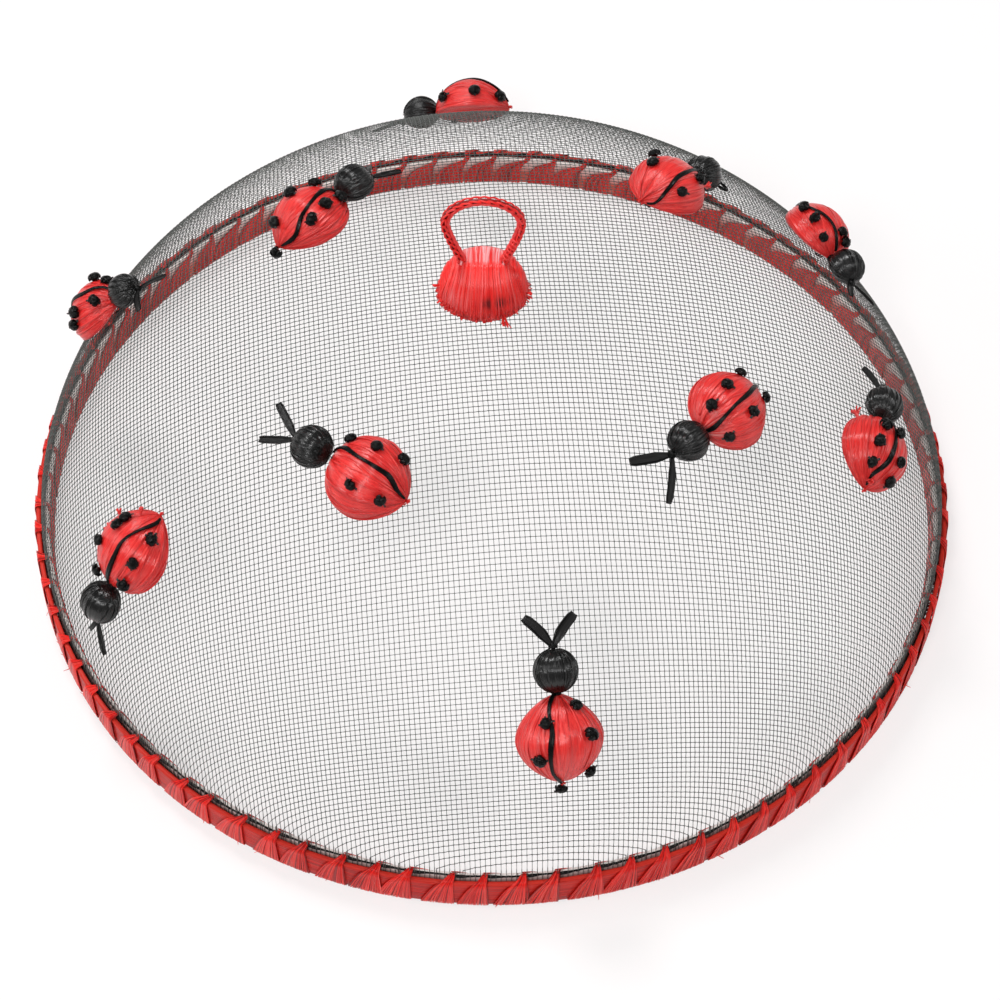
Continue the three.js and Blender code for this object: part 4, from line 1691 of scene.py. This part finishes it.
    def build(self) -> dict[str, Piece]:
        """Builds the ladybird where it is sewn.

        Returns:
            Its pieces by the ending of the node that they stand for.
        """
        rng = np.random.default_rng(100 + self.number)
        place = self.dome.seat(self.sewn.x, self.sewn.y, self.sewn.heading)
        body_frame = place @ Matrix.Translation((0, 0, self.drop * self.sewn.size + self.seat_gap))
        head_place = self.head_seat()
        head_frame = head_place @ Matrix.Translation((0, 0, self.head_height()))
        return {
            "body": self.body(rng, body_frame),
            "stitching": self.stitching(rng, body_frame),
            "head": self.head(rng, head_frame),
            "antennae": self.antennae(rng, head_place),
        }


SEWN_ON = (
    Sewn(
        x=-7.95, y=138.0, heading=154, size=1.04,
        line=((1.0, 5), (-1.0, 5)),
        spots=((0.56, 70), (-0.26, 66), (-0.8, 58)),
        antennae=(Antenna(-4, 12, 1.2), Antenna(32, 6, 0.9)),
        nose=20,
    ),
    Sewn(
        x=-57.0, y=37.35, heading=43, size=1.02,
        line=((0.9, -12), (0.68, -12), (0.3, -20), (-0.2, -28), (-0.46, -34), (-0.7, -54)),
        spots=((0.64, 20), (0.0, 18), (0.28, -40), (-0.22, -46), (-0.7, 18), (0.76, -44)),
        antennae=(Antenna(-32, 10, 1.5), Antenna(58, 8.5)),
        tail_knot=-20,
    ),
    Sewn(
        x=-126.15, y=37.95, heading=342, size=0.92,
        line=((0.9, 20), (0.82, 12), (0.68, 6), (0.52, -2), (0.4, -8), (-0.2, -8), (-0.7, -6)),
        spots=((0.32, 34), (0.74, 36), (0.74, -30), (0.14, -38), (-0.04, -56)),
        antennae=(Antenna(8, 12.5), Antenna(-58, 13)),
    ),
    Sewn(
        x=53.55, y=55.65, heading=46, size=1.01,
        line=((0.48, -20), (-0.1, -22), (-0.34, -22), (-0.56, -32), (-0.76, -44), (-0.92, -82)),
        spots=((0.1, 44), (-0.36, 26), (-0.38, -48), (0.32, -38)),
        antennae=(Antenna(-94, 7, 1.4, looped=True), Antenna(20, 4, 1.0)),
        tufts=(Tuft(0.8, -60),),
    ),
    Sewn(
        x=103.5, y=63.75, heading=287, size=0.98,
        line=((-0.8, -50), (-0.1, -48), (0.1, -36), (0.34, -28), (0.6, -20), (0.82, -18), (0.96, -14)),
        spots=((-0.16, -54), (0.3, -50), (0.76, -54), (0.68, -2), (0.82, 14)),
        antennae=(Antenna(58, 10.5), Antenna(-30, 8)),
    ),
    Sewn(
        x=114.6, y=-28.2, heading=81, size=1.0,
        line=((0.9, 0), (0.26, 2), (-0.38, 2), (-0.6, 4), (-0.84, 26)),
        spots=((0.38, 22), (0.38, -6), (-0.14, 28), (-0.6, 32), (-0.3, -18), (-0.7, -34)),
        antennae=(Antenna(60, 9.5, 1.55), Antenna(-12, 4.8)),
        tufts=(Tuft(0.82, 96, 3.2, 0.9), Tuft(-0.86, 20, 2.6)),
        neck_sheen=0.8,
    ),
    Sewn(
        x=-34.8, y=-60.45, heading=146, size=1.04,
        line=((0.94, -24), (0.3, -10), (-0.24, -10), (-0.62, -14), (-0.84, 0)),
        spots=((0.68, -40), (0.02, -36), (-0.5, -58), (0.02, 26), (-0.62, 32)),
        antennae=(Antenna(-30, 14, 1.3), Antenna(26, 12, 1.3)),
        head_knot=20,
        neck_sheen=0.9,
    ),
    Sewn(
        x=69.45, y=-31.8, heading=224, size=1.01,
        line=((0.96, 24), (0.76, 12), (0.46, 6), (0.18, 4), (-0.12, 4), (-0.68, -2)),
        spots=((-0.6, -40), (0.12, -24), (0.68, -20), (-0.76, 36), (0.04, 26), (0.72, 48)),
        antennae=(Antenna(-26, 13.5, 1.65), Antenna(44, 15.5, 1.15)),
        neck_sheen=0.7,
    ),
    Sewn(
        x=-104.25, y=-63.3, heading=217, size=1.05,
        line=((0.9, 14), (0.36, 14), (0.02, 12), (-0.26, 8), (-0.48, 12), (-0.72, 20), (-0.92, 44)),
        spots=((-0.56, -24), (-0.36, -20), (0.18, -28), (0.8, -26), (-0.6, 46), (-0.02, 40), (0.56, 46)),
        antennae=(Antenna(48, 11), Antenna(-22, 6, 0.8)),
        tufts=(Tuft(0.1, -84, 2.6, 0.5), Tuft(-0.25, -84, 2.6, 0.5), Tuft(-0.8, -30, 2.6)),
    ),
    Sewn(
        x=20.25, y=-124.05, heading=98, size=1.05,
        line=((0.94, 34), (0.38, 14), (-0.02, 18), (-0.68, 22), (-0.96, 10)),
        spots=((0.74, -42), (0.48, 26), (0.18, -38), (-0.26, 34), (-0.7, -68)),
        antennae=(Antenna(40, 12, 1.6), Antenna(-38, 11.5, 1.6)),
        neck_pinch=0.8,
        neck_sheen=0.6,
        tail_knot=10,
    ),
)


# Knob and loop


@dataclass
class Knob:
    """A mound of strands folded over a ridge, cut off short where it is sewn to the screen.

    A place on it has a side, from -1 at its left to 1 at its right, and a sweep, from 0 at its front foot
    over the ridge to 1 at its back foot.
    """

    dome: DomeShape
    finishes: Finishes
    x: float = -3.0
    y: float = 3.0
    half_width: float = 13.6
    half_depth: float = 11.7
    height: float = 14.0
    roundness: float = 2.4
    seat_gap: float = 0.3
    wraps: int = 34
    strands: int = 190
    cut_strands: int = 230
    seed: int = 9

    def frame(self) -> Matrix:
        """Gives the knob's place on the dome."""
        return Matrix.Translation((self.x, self.y, self.dome.apex + self.seat_gap))

    def surface(self, side: Values, sweep: Values) -> Array:
        """Gives a point of the mound.

        Args:
            side: Place from left to right.
            sweep: Place from front to back.

        Returns:
            The point in the knob's own frame.
        """
        side = np.clip(side, -0.999, 0.999)
        tallest = (1 - np.abs(side) ** self.roundness) ** (1 / self.roundness)
        turn = sweep * math.pi
        share = tallest * np.sin(turn)
        wide = (1 - share**self.roundness) ** (1 / self.roundness)
        depth = np.sqrt(np.maximum(wide**2 - side**2, 0.0))
        y = -np.sign(np.cos(turn)) * self.half_depth * depth
        ridge = 0.8 * bell(sweep - 0.45, 0.06) * bell(side, 0.62, 4)
        return xyz(self.half_width * side, y, self.height * share + ridge - 0.5)

    def surface_normal(self, side: Values, sweep: Values) -> Array:
        """Gives the direction straight off the mound.

        Args:
            side: Place from left to right.
            sweep: Place from front to back.

        Returns:
            Directions of length one.
        """
        nudge = 1e-3
        after, before = np.clip(sweep + nudge, 0, 1), np.clip(sweep - nudge, 0, 1)
        run = self.surface(side, after) - self.surface(side, before)
        turn = self.surface(side + nudge, sweep) - self.surface(side - nudge, sweep)
        return unit(np.cross(turn, run))

    def painted_light(self, side: Values, sweep: Values) -> Array:
        """Gives the light and shade painted on the strands: a painted highlight behind the ridge and a painted
        glare low on the left, painted shade deep low at the front and at the feet.

        Args:
            side: Place from left to right.
            sweep: Place from front to back.

        Returns:
            The shade.
        """
        facet_highlight = np.clip((sweep - 0.465) / 0.02, 0, 1) * np.clip((0.74 - sweep) / 0.08, 0, 1)
        facet_highlight = facet_highlight * bell(side, 0.52, 6)
        hollow_shade = bell(sweep - 0.17, 0.045) * bell(side - 0.3, 0.34, 4)
        low = bell(sweep - 0.03, 0.05)
        glare = bell(sweep - 0.17, 0.1) * bell(side + 0.62, 0.25)
        return 0.55 * hollow_shade + 0.22 * low - 0.34 * facet_highlight - 0.12 * glare

    def mound(self) -> Piece:
        """Lays the strands of the knob.

        Returns:
            The knob.
        """
        rng = np.random.default_rng(self.seed)
        draft = MeshDraft()
        lanes, steps = 180, 90
        side = np.sin(np.linspace(-1, 1, lanes) * math.pi / 2 * 0.985)[:, None]
        sweep = np.linspace(0, 1, steps)[None, :]
        angle = side * 2.2
        along = sweep * 2 - 1
        wraps = lapped_wraps(rng, along, angle, self.wraps)
        fine = strand_relief(rng, along, angle, (34, 90), 8)
        folds = strand_relief(rng, along, angle, (6, 16), 4)
        foot = bell(sweep, 0.2) + bell(1 - sweep, 0.2)
        height = 0.2 * wraps + 0.1 * fine + folds * (0.12 + 0.3 * foot)
        points = self.surface(side, sweep) + self.surface_normal(side, sweep) * height[..., None]
        # Painted shade under each lapped strand's edge and in the creases near the feet, then the knob's
        # painted light.
        shade = 0.16 * np.clip(0.3 - wraps, 0, 1) + 0.2 * np.clip(-folds, 0, 1) * foot
        shade = shade + self.painted_light(side, sweep)
        grain = xyz(sweep * 34, side * self.half_width, 0.0)
        k, s = np.meshgrid(np.arange(lanes - 1), np.arange(steps - 1), indexing="ij")
        base = k * steps + s
        faces = np.stack([base, base + steps, base + steps + 1, base + 1], axis=-1)
        run = unit(np.gradient(points, axis=1)).reshape(-1, 3)
        draft.add(points.reshape(-1, 3), faces.reshape(-1, 4), grain.reshape(-1, 3), run, shade.reshape(-1))
        for _ in range(self.strands):
            self.loose_strand(draft, rng)
        self.fringe(draft, rng)
        self.cut_ends(draft, rng)
        return draft.build("wound_knob", self.finishes.painted_lit_red, self.frame())

    def loose_strand(self, draft: MeshDraft, rng: Chance) -> None:
        """Lays one strand over the mound from front to back.

        Args:
            draft: Where it goes.
            rng: Source of chance.
        """
        steps = 34
        start, end = rng.uniform(0.0, 0.12), rng.uniform(0.8, 1.0)
        sweep = np.linspace(start, end, steps)
        lane = rng.uniform(-0.93, 0.93)
        gather = 1 - 0.26 * np.sin(np.clip(sweep, 0, 0.55) / 0.55 * math.pi / 2) ** 3
        side = lane * gather + rng.uniform(-0.05, 0.05) * np.sin(sweep * 5)
        normal = self.surface_normal(side, sweep)
        points = self.surface(side, sweep) + normal * rng.uniform(0.12, 0.34)
        fade = np.interp(np.linspace(0, 1, steps), [0, 0.06, 0.94, 1], [0.7, 1, 1, 0.7])
        # Random tone, with none, all or more of the knob's painted light.
        shade = rng.uniform(-0.16, 0.08) + self.painted_light(side, sweep) * rng.choice([0.0, 1.0, 2.2])
        wide = rng.uniform(0.14, 0.42) * fade
        draft.tube(points, normal, wide, 0.13, sides=6, strand=any_strand(rng), shade=shade)

    def fringe(self, draft: MeshDraft, rng: Chance) -> None:
        """Cuts the strands off ragged round the knob's foot.

        Args:
            draft: Where the ends go.
            rng: Source of chance.
        """
        for _ in range(self.cut_strands):
            out = outward(rng.uniform(0, TURN))
            base = out * np.array([self.half_width, self.half_depth, 0]) * rng.uniform(0.93, 0.99)
            base[2] = rng.uniform(0.7, 2.2)
            length = rng.uniform(0.8, 2.2) if out[1] < 0.3 else rng.uniform(0.4, 1.2)
            way = unit(out - 0.9 * UP + rng.normal(0, 0.22, 3))
            tip = base + way * length
            ground = self.dome.point(self.x + tip[0], self.y + tip[1])[2] - self.dome.apex - self.seat_gap
            tip[2] = max(tip[2], ground + 0.25)
            path = smooth_path(np.array([base + 1.6 * UP - out * 0.35, base, tip]), 6)
            strand = any_strand(rng)
            shade = np.linspace(0.1, rng.uniform(-0.3, 0.5), 6)
            draft.tube(path, out, rng.uniform(0.22, 0.5), 0.1, strand=strand, shade=shade)

    def cut_ends(self, draft: MeshDraft, rng: Chance) -> None:
        """Adds the bunches of longer ends at the front and at the sides.

        Args:
            draft: Where the ends go.
            rng: Source of chance.
        """
        bunches = (
            ((6.5, -10.6, 1.4), (0.25, -1.0, -0.3), 4.2),
            ((6.0, -10.8, 1.2), (0.05, -1.0, -0.3), 3.4),
            ((-13.2, -1.5, 4.2), (-1.0, -0.2, 0.1), 1.8),
            ((13.2, -3.0, 2.6), (1.0, -0.3, 0.1), 1.8),
        )
        for place, way, length in bunches:
            cut_tuft(draft, rng, np.array(place), np.array(way), 7, length, 0.14, width=0.45)

    def tie(self) -> Piece:
        """Sews the knob down with crossed stitches inside the dome.

        Returns:
            The stitches.
        """
        rng = np.random.default_rng(self.seed + 1)
        draft = MeshDraft()
        floor = self.dome.point(self.x, self.y)[2] - 1.35
        for number in range(12):
            turn = number / 12 * math.pi + rng.uniform(-0.12, 0.12)
            half = np.array([math.cos(turn) * 4.6, math.sin(turn) * 3.2, 0.0]) * rng.uniform(0.7, 1.0)
            path = np.linspace(-half, half, 9) + np.array([self.x, self.y, floor - 0.05 * number / 12])
            path[[0, -1], 2] += 1.0
            path[[1, -2], 2] += 0.35
            draft.tube(path, UP, rng.uniform(0.3, 0.5), 0.16, strand=any_strand(rng))
        return draft.build("knob_stitches", self.finishes.red)


@dataclass
class HandleLoop:
    """A chain of crochet that stands on two feet sewn into the knob."""

    knob: Knob
    finishes: Finishes
    half_width: float = 11.2
    widest_height: float = 14.6
    crown_rise: float = 9.3
    flare: float = 1.3
    cord_radius: float = 1.45
    foot_spread: float = 12.6
    lean: float = 2.0
    stitches: int = 25
    steps: int = 700

    def frame(self) -> Matrix:
        """Gives the place of the line through the loop's two feet."""
        knob = self.knob
        share = (self.foot_spread / 2) / knob.half_width
        top = knob.height * (1 - share**knob.roundness) ** (1 / knob.roundness)
        height = top + knob.seat_gap + self.cord_radius
        turn = Matrix.Rotation(-math.radians(self.lean), 4, "X")
        return knob.frame() @ Matrix.Translation((0, 0, height)) @ turn

    def line(self) -> Array:
        """Draws the middle of the cord from one foot to the other.

        Returns:
            Evenly spaced points.
        """
        height = np.linspace(-0.6, self.widest_height, 60, endpoint=False)
        rest = 1 - np.clip(height / self.widest_height, 0, 1)
        side = self.half_width - (self.half_width - self.foot_spread / 2) * rest**self.flare
        turn = np.linspace(0, math.pi, 120)
        crown = [-self.half_width * np.cos(turn), self.widest_height + self.crown_rise * np.sin(turn)]
        dense = np.hstack([[-side, height], crown, [side[::-1], height[::-1]]])
        run = np.concatenate([[0], np.cumsum(np.hypot(*np.diff(dense, axis=1)))])
        even = np.linspace(0, run[-1], self.steps)
        return xyz(np.interp(even, run, dense[0]), 0.0, np.interp(even, run, dense[1]))

    def build(self) -> Piece:
        """Crochets the loop: a cord on the inside and a chain of stitches round the outside.

        Returns:
            The loop.
        """
        rng = np.random.default_rng(31)
        draft = MeshDraft()
        line = self.line()
        out = unit(np.cross(tangents(line), BACK))
        out = out * np.sign(np.sum(out * (line - line.mean(axis=0)), axis=1).mean())
        place = np.linspace(0, self.stitches, self.steps)
        sway = 0.08 * np.sin(place * TURN)
        inner = line + out * (-0.78 + sway)[:, None]
        draft.tube(inner, out, 0.62, 0.6, sides=10, strand=11.0, shade=-0.08)
        # The core is painted deep: painted shade in the holes where the stitches' arms part.
        core = line + out * 0.4
        draft.tube(core, out, 0.5, 0.92, sides=8, strand=23.0, shade=0.9)
        for number in range(self.stitches):
            self.stitch(draft, rng, line, out, number)
        self.sewn_feet(draft, rng, line)
        leg = slice(self.steps - 118, self.steps - 14)
        turn = np.linspace(0, 6 * TURN, 104)
        around = BACK * (1.3 * np.sin(turn))[:, None] + out[leg] * (1.25 * np.cos(turn) + 0.15)[:, None]
        draft.tube(line[leg] + around, around, 0.42, 0.2, sides=6, strand=15.0, shade=-0.05)
        return draft.build("crocheted_loop", self.finishes.painted_lit_red, self.frame())

    def stitch(self, draft: MeshDraft, rng: Chance, line: Array, out: Array, number: int) -> None:
        """Adds one stitch of the chain, two arms that part and close again.

        Args:
            draft: Where the stitch goes.
            rng: Source of chance.
            line: Middle of the cord.
            out: Way out of the loop at each point of the line.
            number: Which stitch it is, from the left foot.
        """
        share = np.linspace(0, 1, 13)
        at = np.clip((number - 0.15 + share * 1.45) / self.stitches, 0, 1) * (self.steps - 1)
        middle, away = between(at, line), between(at, out)
        for face in (-1, 1):
            for arm in (-1, 1):
                part = 0.46 + arm * 0.66 * np.sin(math.pi * share**0.8) ** 0.8 + rng.uniform(-0.05, 0.05)
                stand = face * (0.4 + 0.72 * np.interp(share, [0, 0.5, 1], [0, 0.8, 1.0]))
                path = middle + away * part[:, None] + BACK * stand[:, None]
                facing = unit(BACK * face + away * (arm * 0.5))
                wide = 0.34 * np.interp(share, [0, 0.2, 0.8, 1], [0.7, 1, 1, 0.7])
                strand, shade = any_strand(rng), rng.uniform(-0.1, 0.12)
                draft.tube(path, facing, wide, 0.26, sides=8, strand=strand, shade=shade)

    def sewn_feet(self, draft: MeshDraft, rng: Chance, line: Array) -> None:
        """Sews both feet into the knob.

        Args:
            draft: Where the stitches go.
            rng: Source of chance.
            line: Middle of the cord.
        """
        for end in (0, -1):
            foot = line[end]
            for number in range(7):
                out = outward(number / 7 * TURN)
                lean = out * 1.5 - 0.9 * UP
                path = smooth_path([foot + 1.9 * UP, foot + lean * 0.45 + 0.5 * UP, foot + lean], 6)
                # Every fourth stitch is painted pale: a painted glint.
                shade = -0.7 if number % 4 == 1 else 0.1
                draft.tube(path, out + 0.4 * UP, 0.42, 0.16, strand=any_strand(rng), shade=shade)


# Studio


@dataclass(frozen=True)
class Studio:
    """Camera, lights and floor of the picture."""

    camera_place: tuple[float, float, float] = (2.724, -530.758, 727.971)
    look_at: tuple[float, float, float] = (2.7237, 0.0, 2.3704)
    roll: float = 0.5791
    lens: float = 97.337
    sensor: float = 36.0
    room: float = 0.3

    def camera(self) -> None:
        """Sets the camera up where the picture was taken from."""
        data = bpy.data.cameras.new("picture_camera")
        data.lens = self.lens
        data.sensor_width = self.sensor
        data.clip_start, data.clip_end = 0.01, 20.0
        camera = bpy.data.objects.new("picture_camera", data)
        place = Vector(self.camera_place)
        forward = (Vector(self.look_at) - place).normalized()
        right = forward.cross(Vector((0, 0, 1))).normalized()
        up = right.cross(forward)
        turn = math.radians(self.roll)
        rolled_right = right * math.cos(turn) + up * math.sin(turn)
        rolled_up = up * math.cos(turn) - right * math.sin(turn)
        frame = Matrix((rolled_right, rolled_up, -forward)).transposed().to_4x4()
        frame.translation = place * MILLIMETRE
        camera.matrix_world = frame
        bpy.context.scene.collection.objects.link(camera)
        bpy.context.scene.camera = camera

    def area(self, name: str, place: tuple[float, float, float], size: float, power: float) -> None:
        """Hangs one soft box that faces the cover.

        Args:
            name: Name of the light.
            place: Where it hangs, in metres.
            size: Length of its side, in metres.
            power: Its power in watts.
        """
        data = bpy.data.lights.new(name, "AREA")
        data.shape = "SQUARE"
        data.size = size
        data.energy = power
        light = bpy.data.objects.new(name, data)
        light.location = place
        light.rotation_mode = "QUATERNION"
        light.rotation_quaternion = (Vector((0, 0, 0.05)) - Vector(place)).to_track_quat("-Z", "Y")
        bpy.context.scene.collection.objects.link(light)

    def floor(self) -> None:
        """Lays the white floor."""
        mesh = bpy.data.meshes.new("white_floor")
        half = 6.0
        corners = [(-half, -half, 0), (half, -half, 0), (half, half, 0), (-half, half, 0)]
        mesh.from_pydata(corners, [], [(0, 1, 2, 3)])
        mesh.materials.append(FloorFinish().make())
        floor = bpy.data.objects.new("white_floor", mesh)
        floor.location = (0, 0, -0.0002)
        bpy.context.scene.collection.objects.link(floor)

    def world(self) -> None:
        """Lights everything softly from all round, with white behind."""
        world = bpy.data.worlds.new("soft_room")
        world.use_nodes = True
        tree = world.node_tree
        tree.nodes.clear()
        output = tree.nodes.new("ShaderNodeOutputWorld")
        rays = tree.nodes.new("ShaderNodeLightPath")
        both = tree.nodes.new("ShaderNodeMixShader")
        tree.links.new(rays.outputs["Is Camera Ray"], both.inputs[0])
        for number, strength in ((1, self.room), (2, 1.0)):
            glow = tree.nodes.new("ShaderNodeBackground")
            glow.inputs["Color"].default_value = (1.0, 1.0, 1.0, 1.0)
            glow.inputs["Strength"].default_value = strength
            tree.links.new(glow.outputs[0], both.inputs[number])
        tree.links.new(both.outputs[0], output.inputs["Surface"])
        bpy.context.scene.world = world

    def build(self) -> None:
        """Sets up the studio."""
        self.camera()
        self.floor()
        self.world()
        self.area("key_box", (-0.35, 0.55, 1.3), 0.32, 10.5)
        self.area("front_box", (-0.25, -0.8, 1.1), 0.26, 6.5)
        self.area("left_box", (-0.95, -0.15, 0.7), 0.4, 2.6)
        self.area("right_box", (0.95, -0.1, 0.7), 0.4, 2.4)
        bpy.context.scene.view_settings.view_transform = "Standard"


# Assembly


def dress(piece: Piece, body: str, slot: Slot, *nodes: str) -> None:
    """Makes a piece ride on its body in place of the nodes that it stands for.

    Args:
        piece: The piece.
        body: Body that it rides on.
        slot: Material slot of the piece; not used.
        *nodes: Nodes that it stands for.
    """
    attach(piece, body)
    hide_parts(*nodes)


def main() -> None:
    """Builds and dresses every piece of the cover."""
    logging.basicConfig(level=logging.INFO, format="%(name)s: %(message)s")
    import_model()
    Studio().build()
    finishes = Finishes()
    dome = DomeShape()

    for piece in ScreenCloth(dome, finishes.screen).build():
        dress(piece, COVER_BODY, Slot.SCREEN, "net")

    slots = {
        "outer_hoop": Slot.BAMBOO,
        "inner_hoop": Slot.BAMBOO,
        "net_hem": Slot.SCREEN,
        "rim_binding": Slot.RED_RAFFIA,
    }
    for node, pieces in Rim(finishes).build().items():
        for piece in pieces:
            dress(piece, COVER_BODY, slots[node], node)

    for number, sewn in enumerate(SEWN_ON, start=1):
        for ending, piece in Ladybird(number, sewn, dome, finishes).build().items():
            slot = Slot.RED_RAFFIA if ending == "body" else Slot.BLACK_RAFFIA
            dress(piece, COVER_BODY, slot, f"ladybird_{number:02d}_{ending}")

    knob = Knob(dome, finishes)
    dress(knob.mound(), COVER_BODY, Slot.RED_RAFFIA, "knob")
    dress(knob.tie(), COVER_BODY, Slot.RED_RAFFIA, "knob_tie")
    dress(HandleLoop(knob, finishes).build(), LOOP_BODY, Slot.RED_RAFFIA, "handle_loop")


if __name__ == "__main__":
    main()
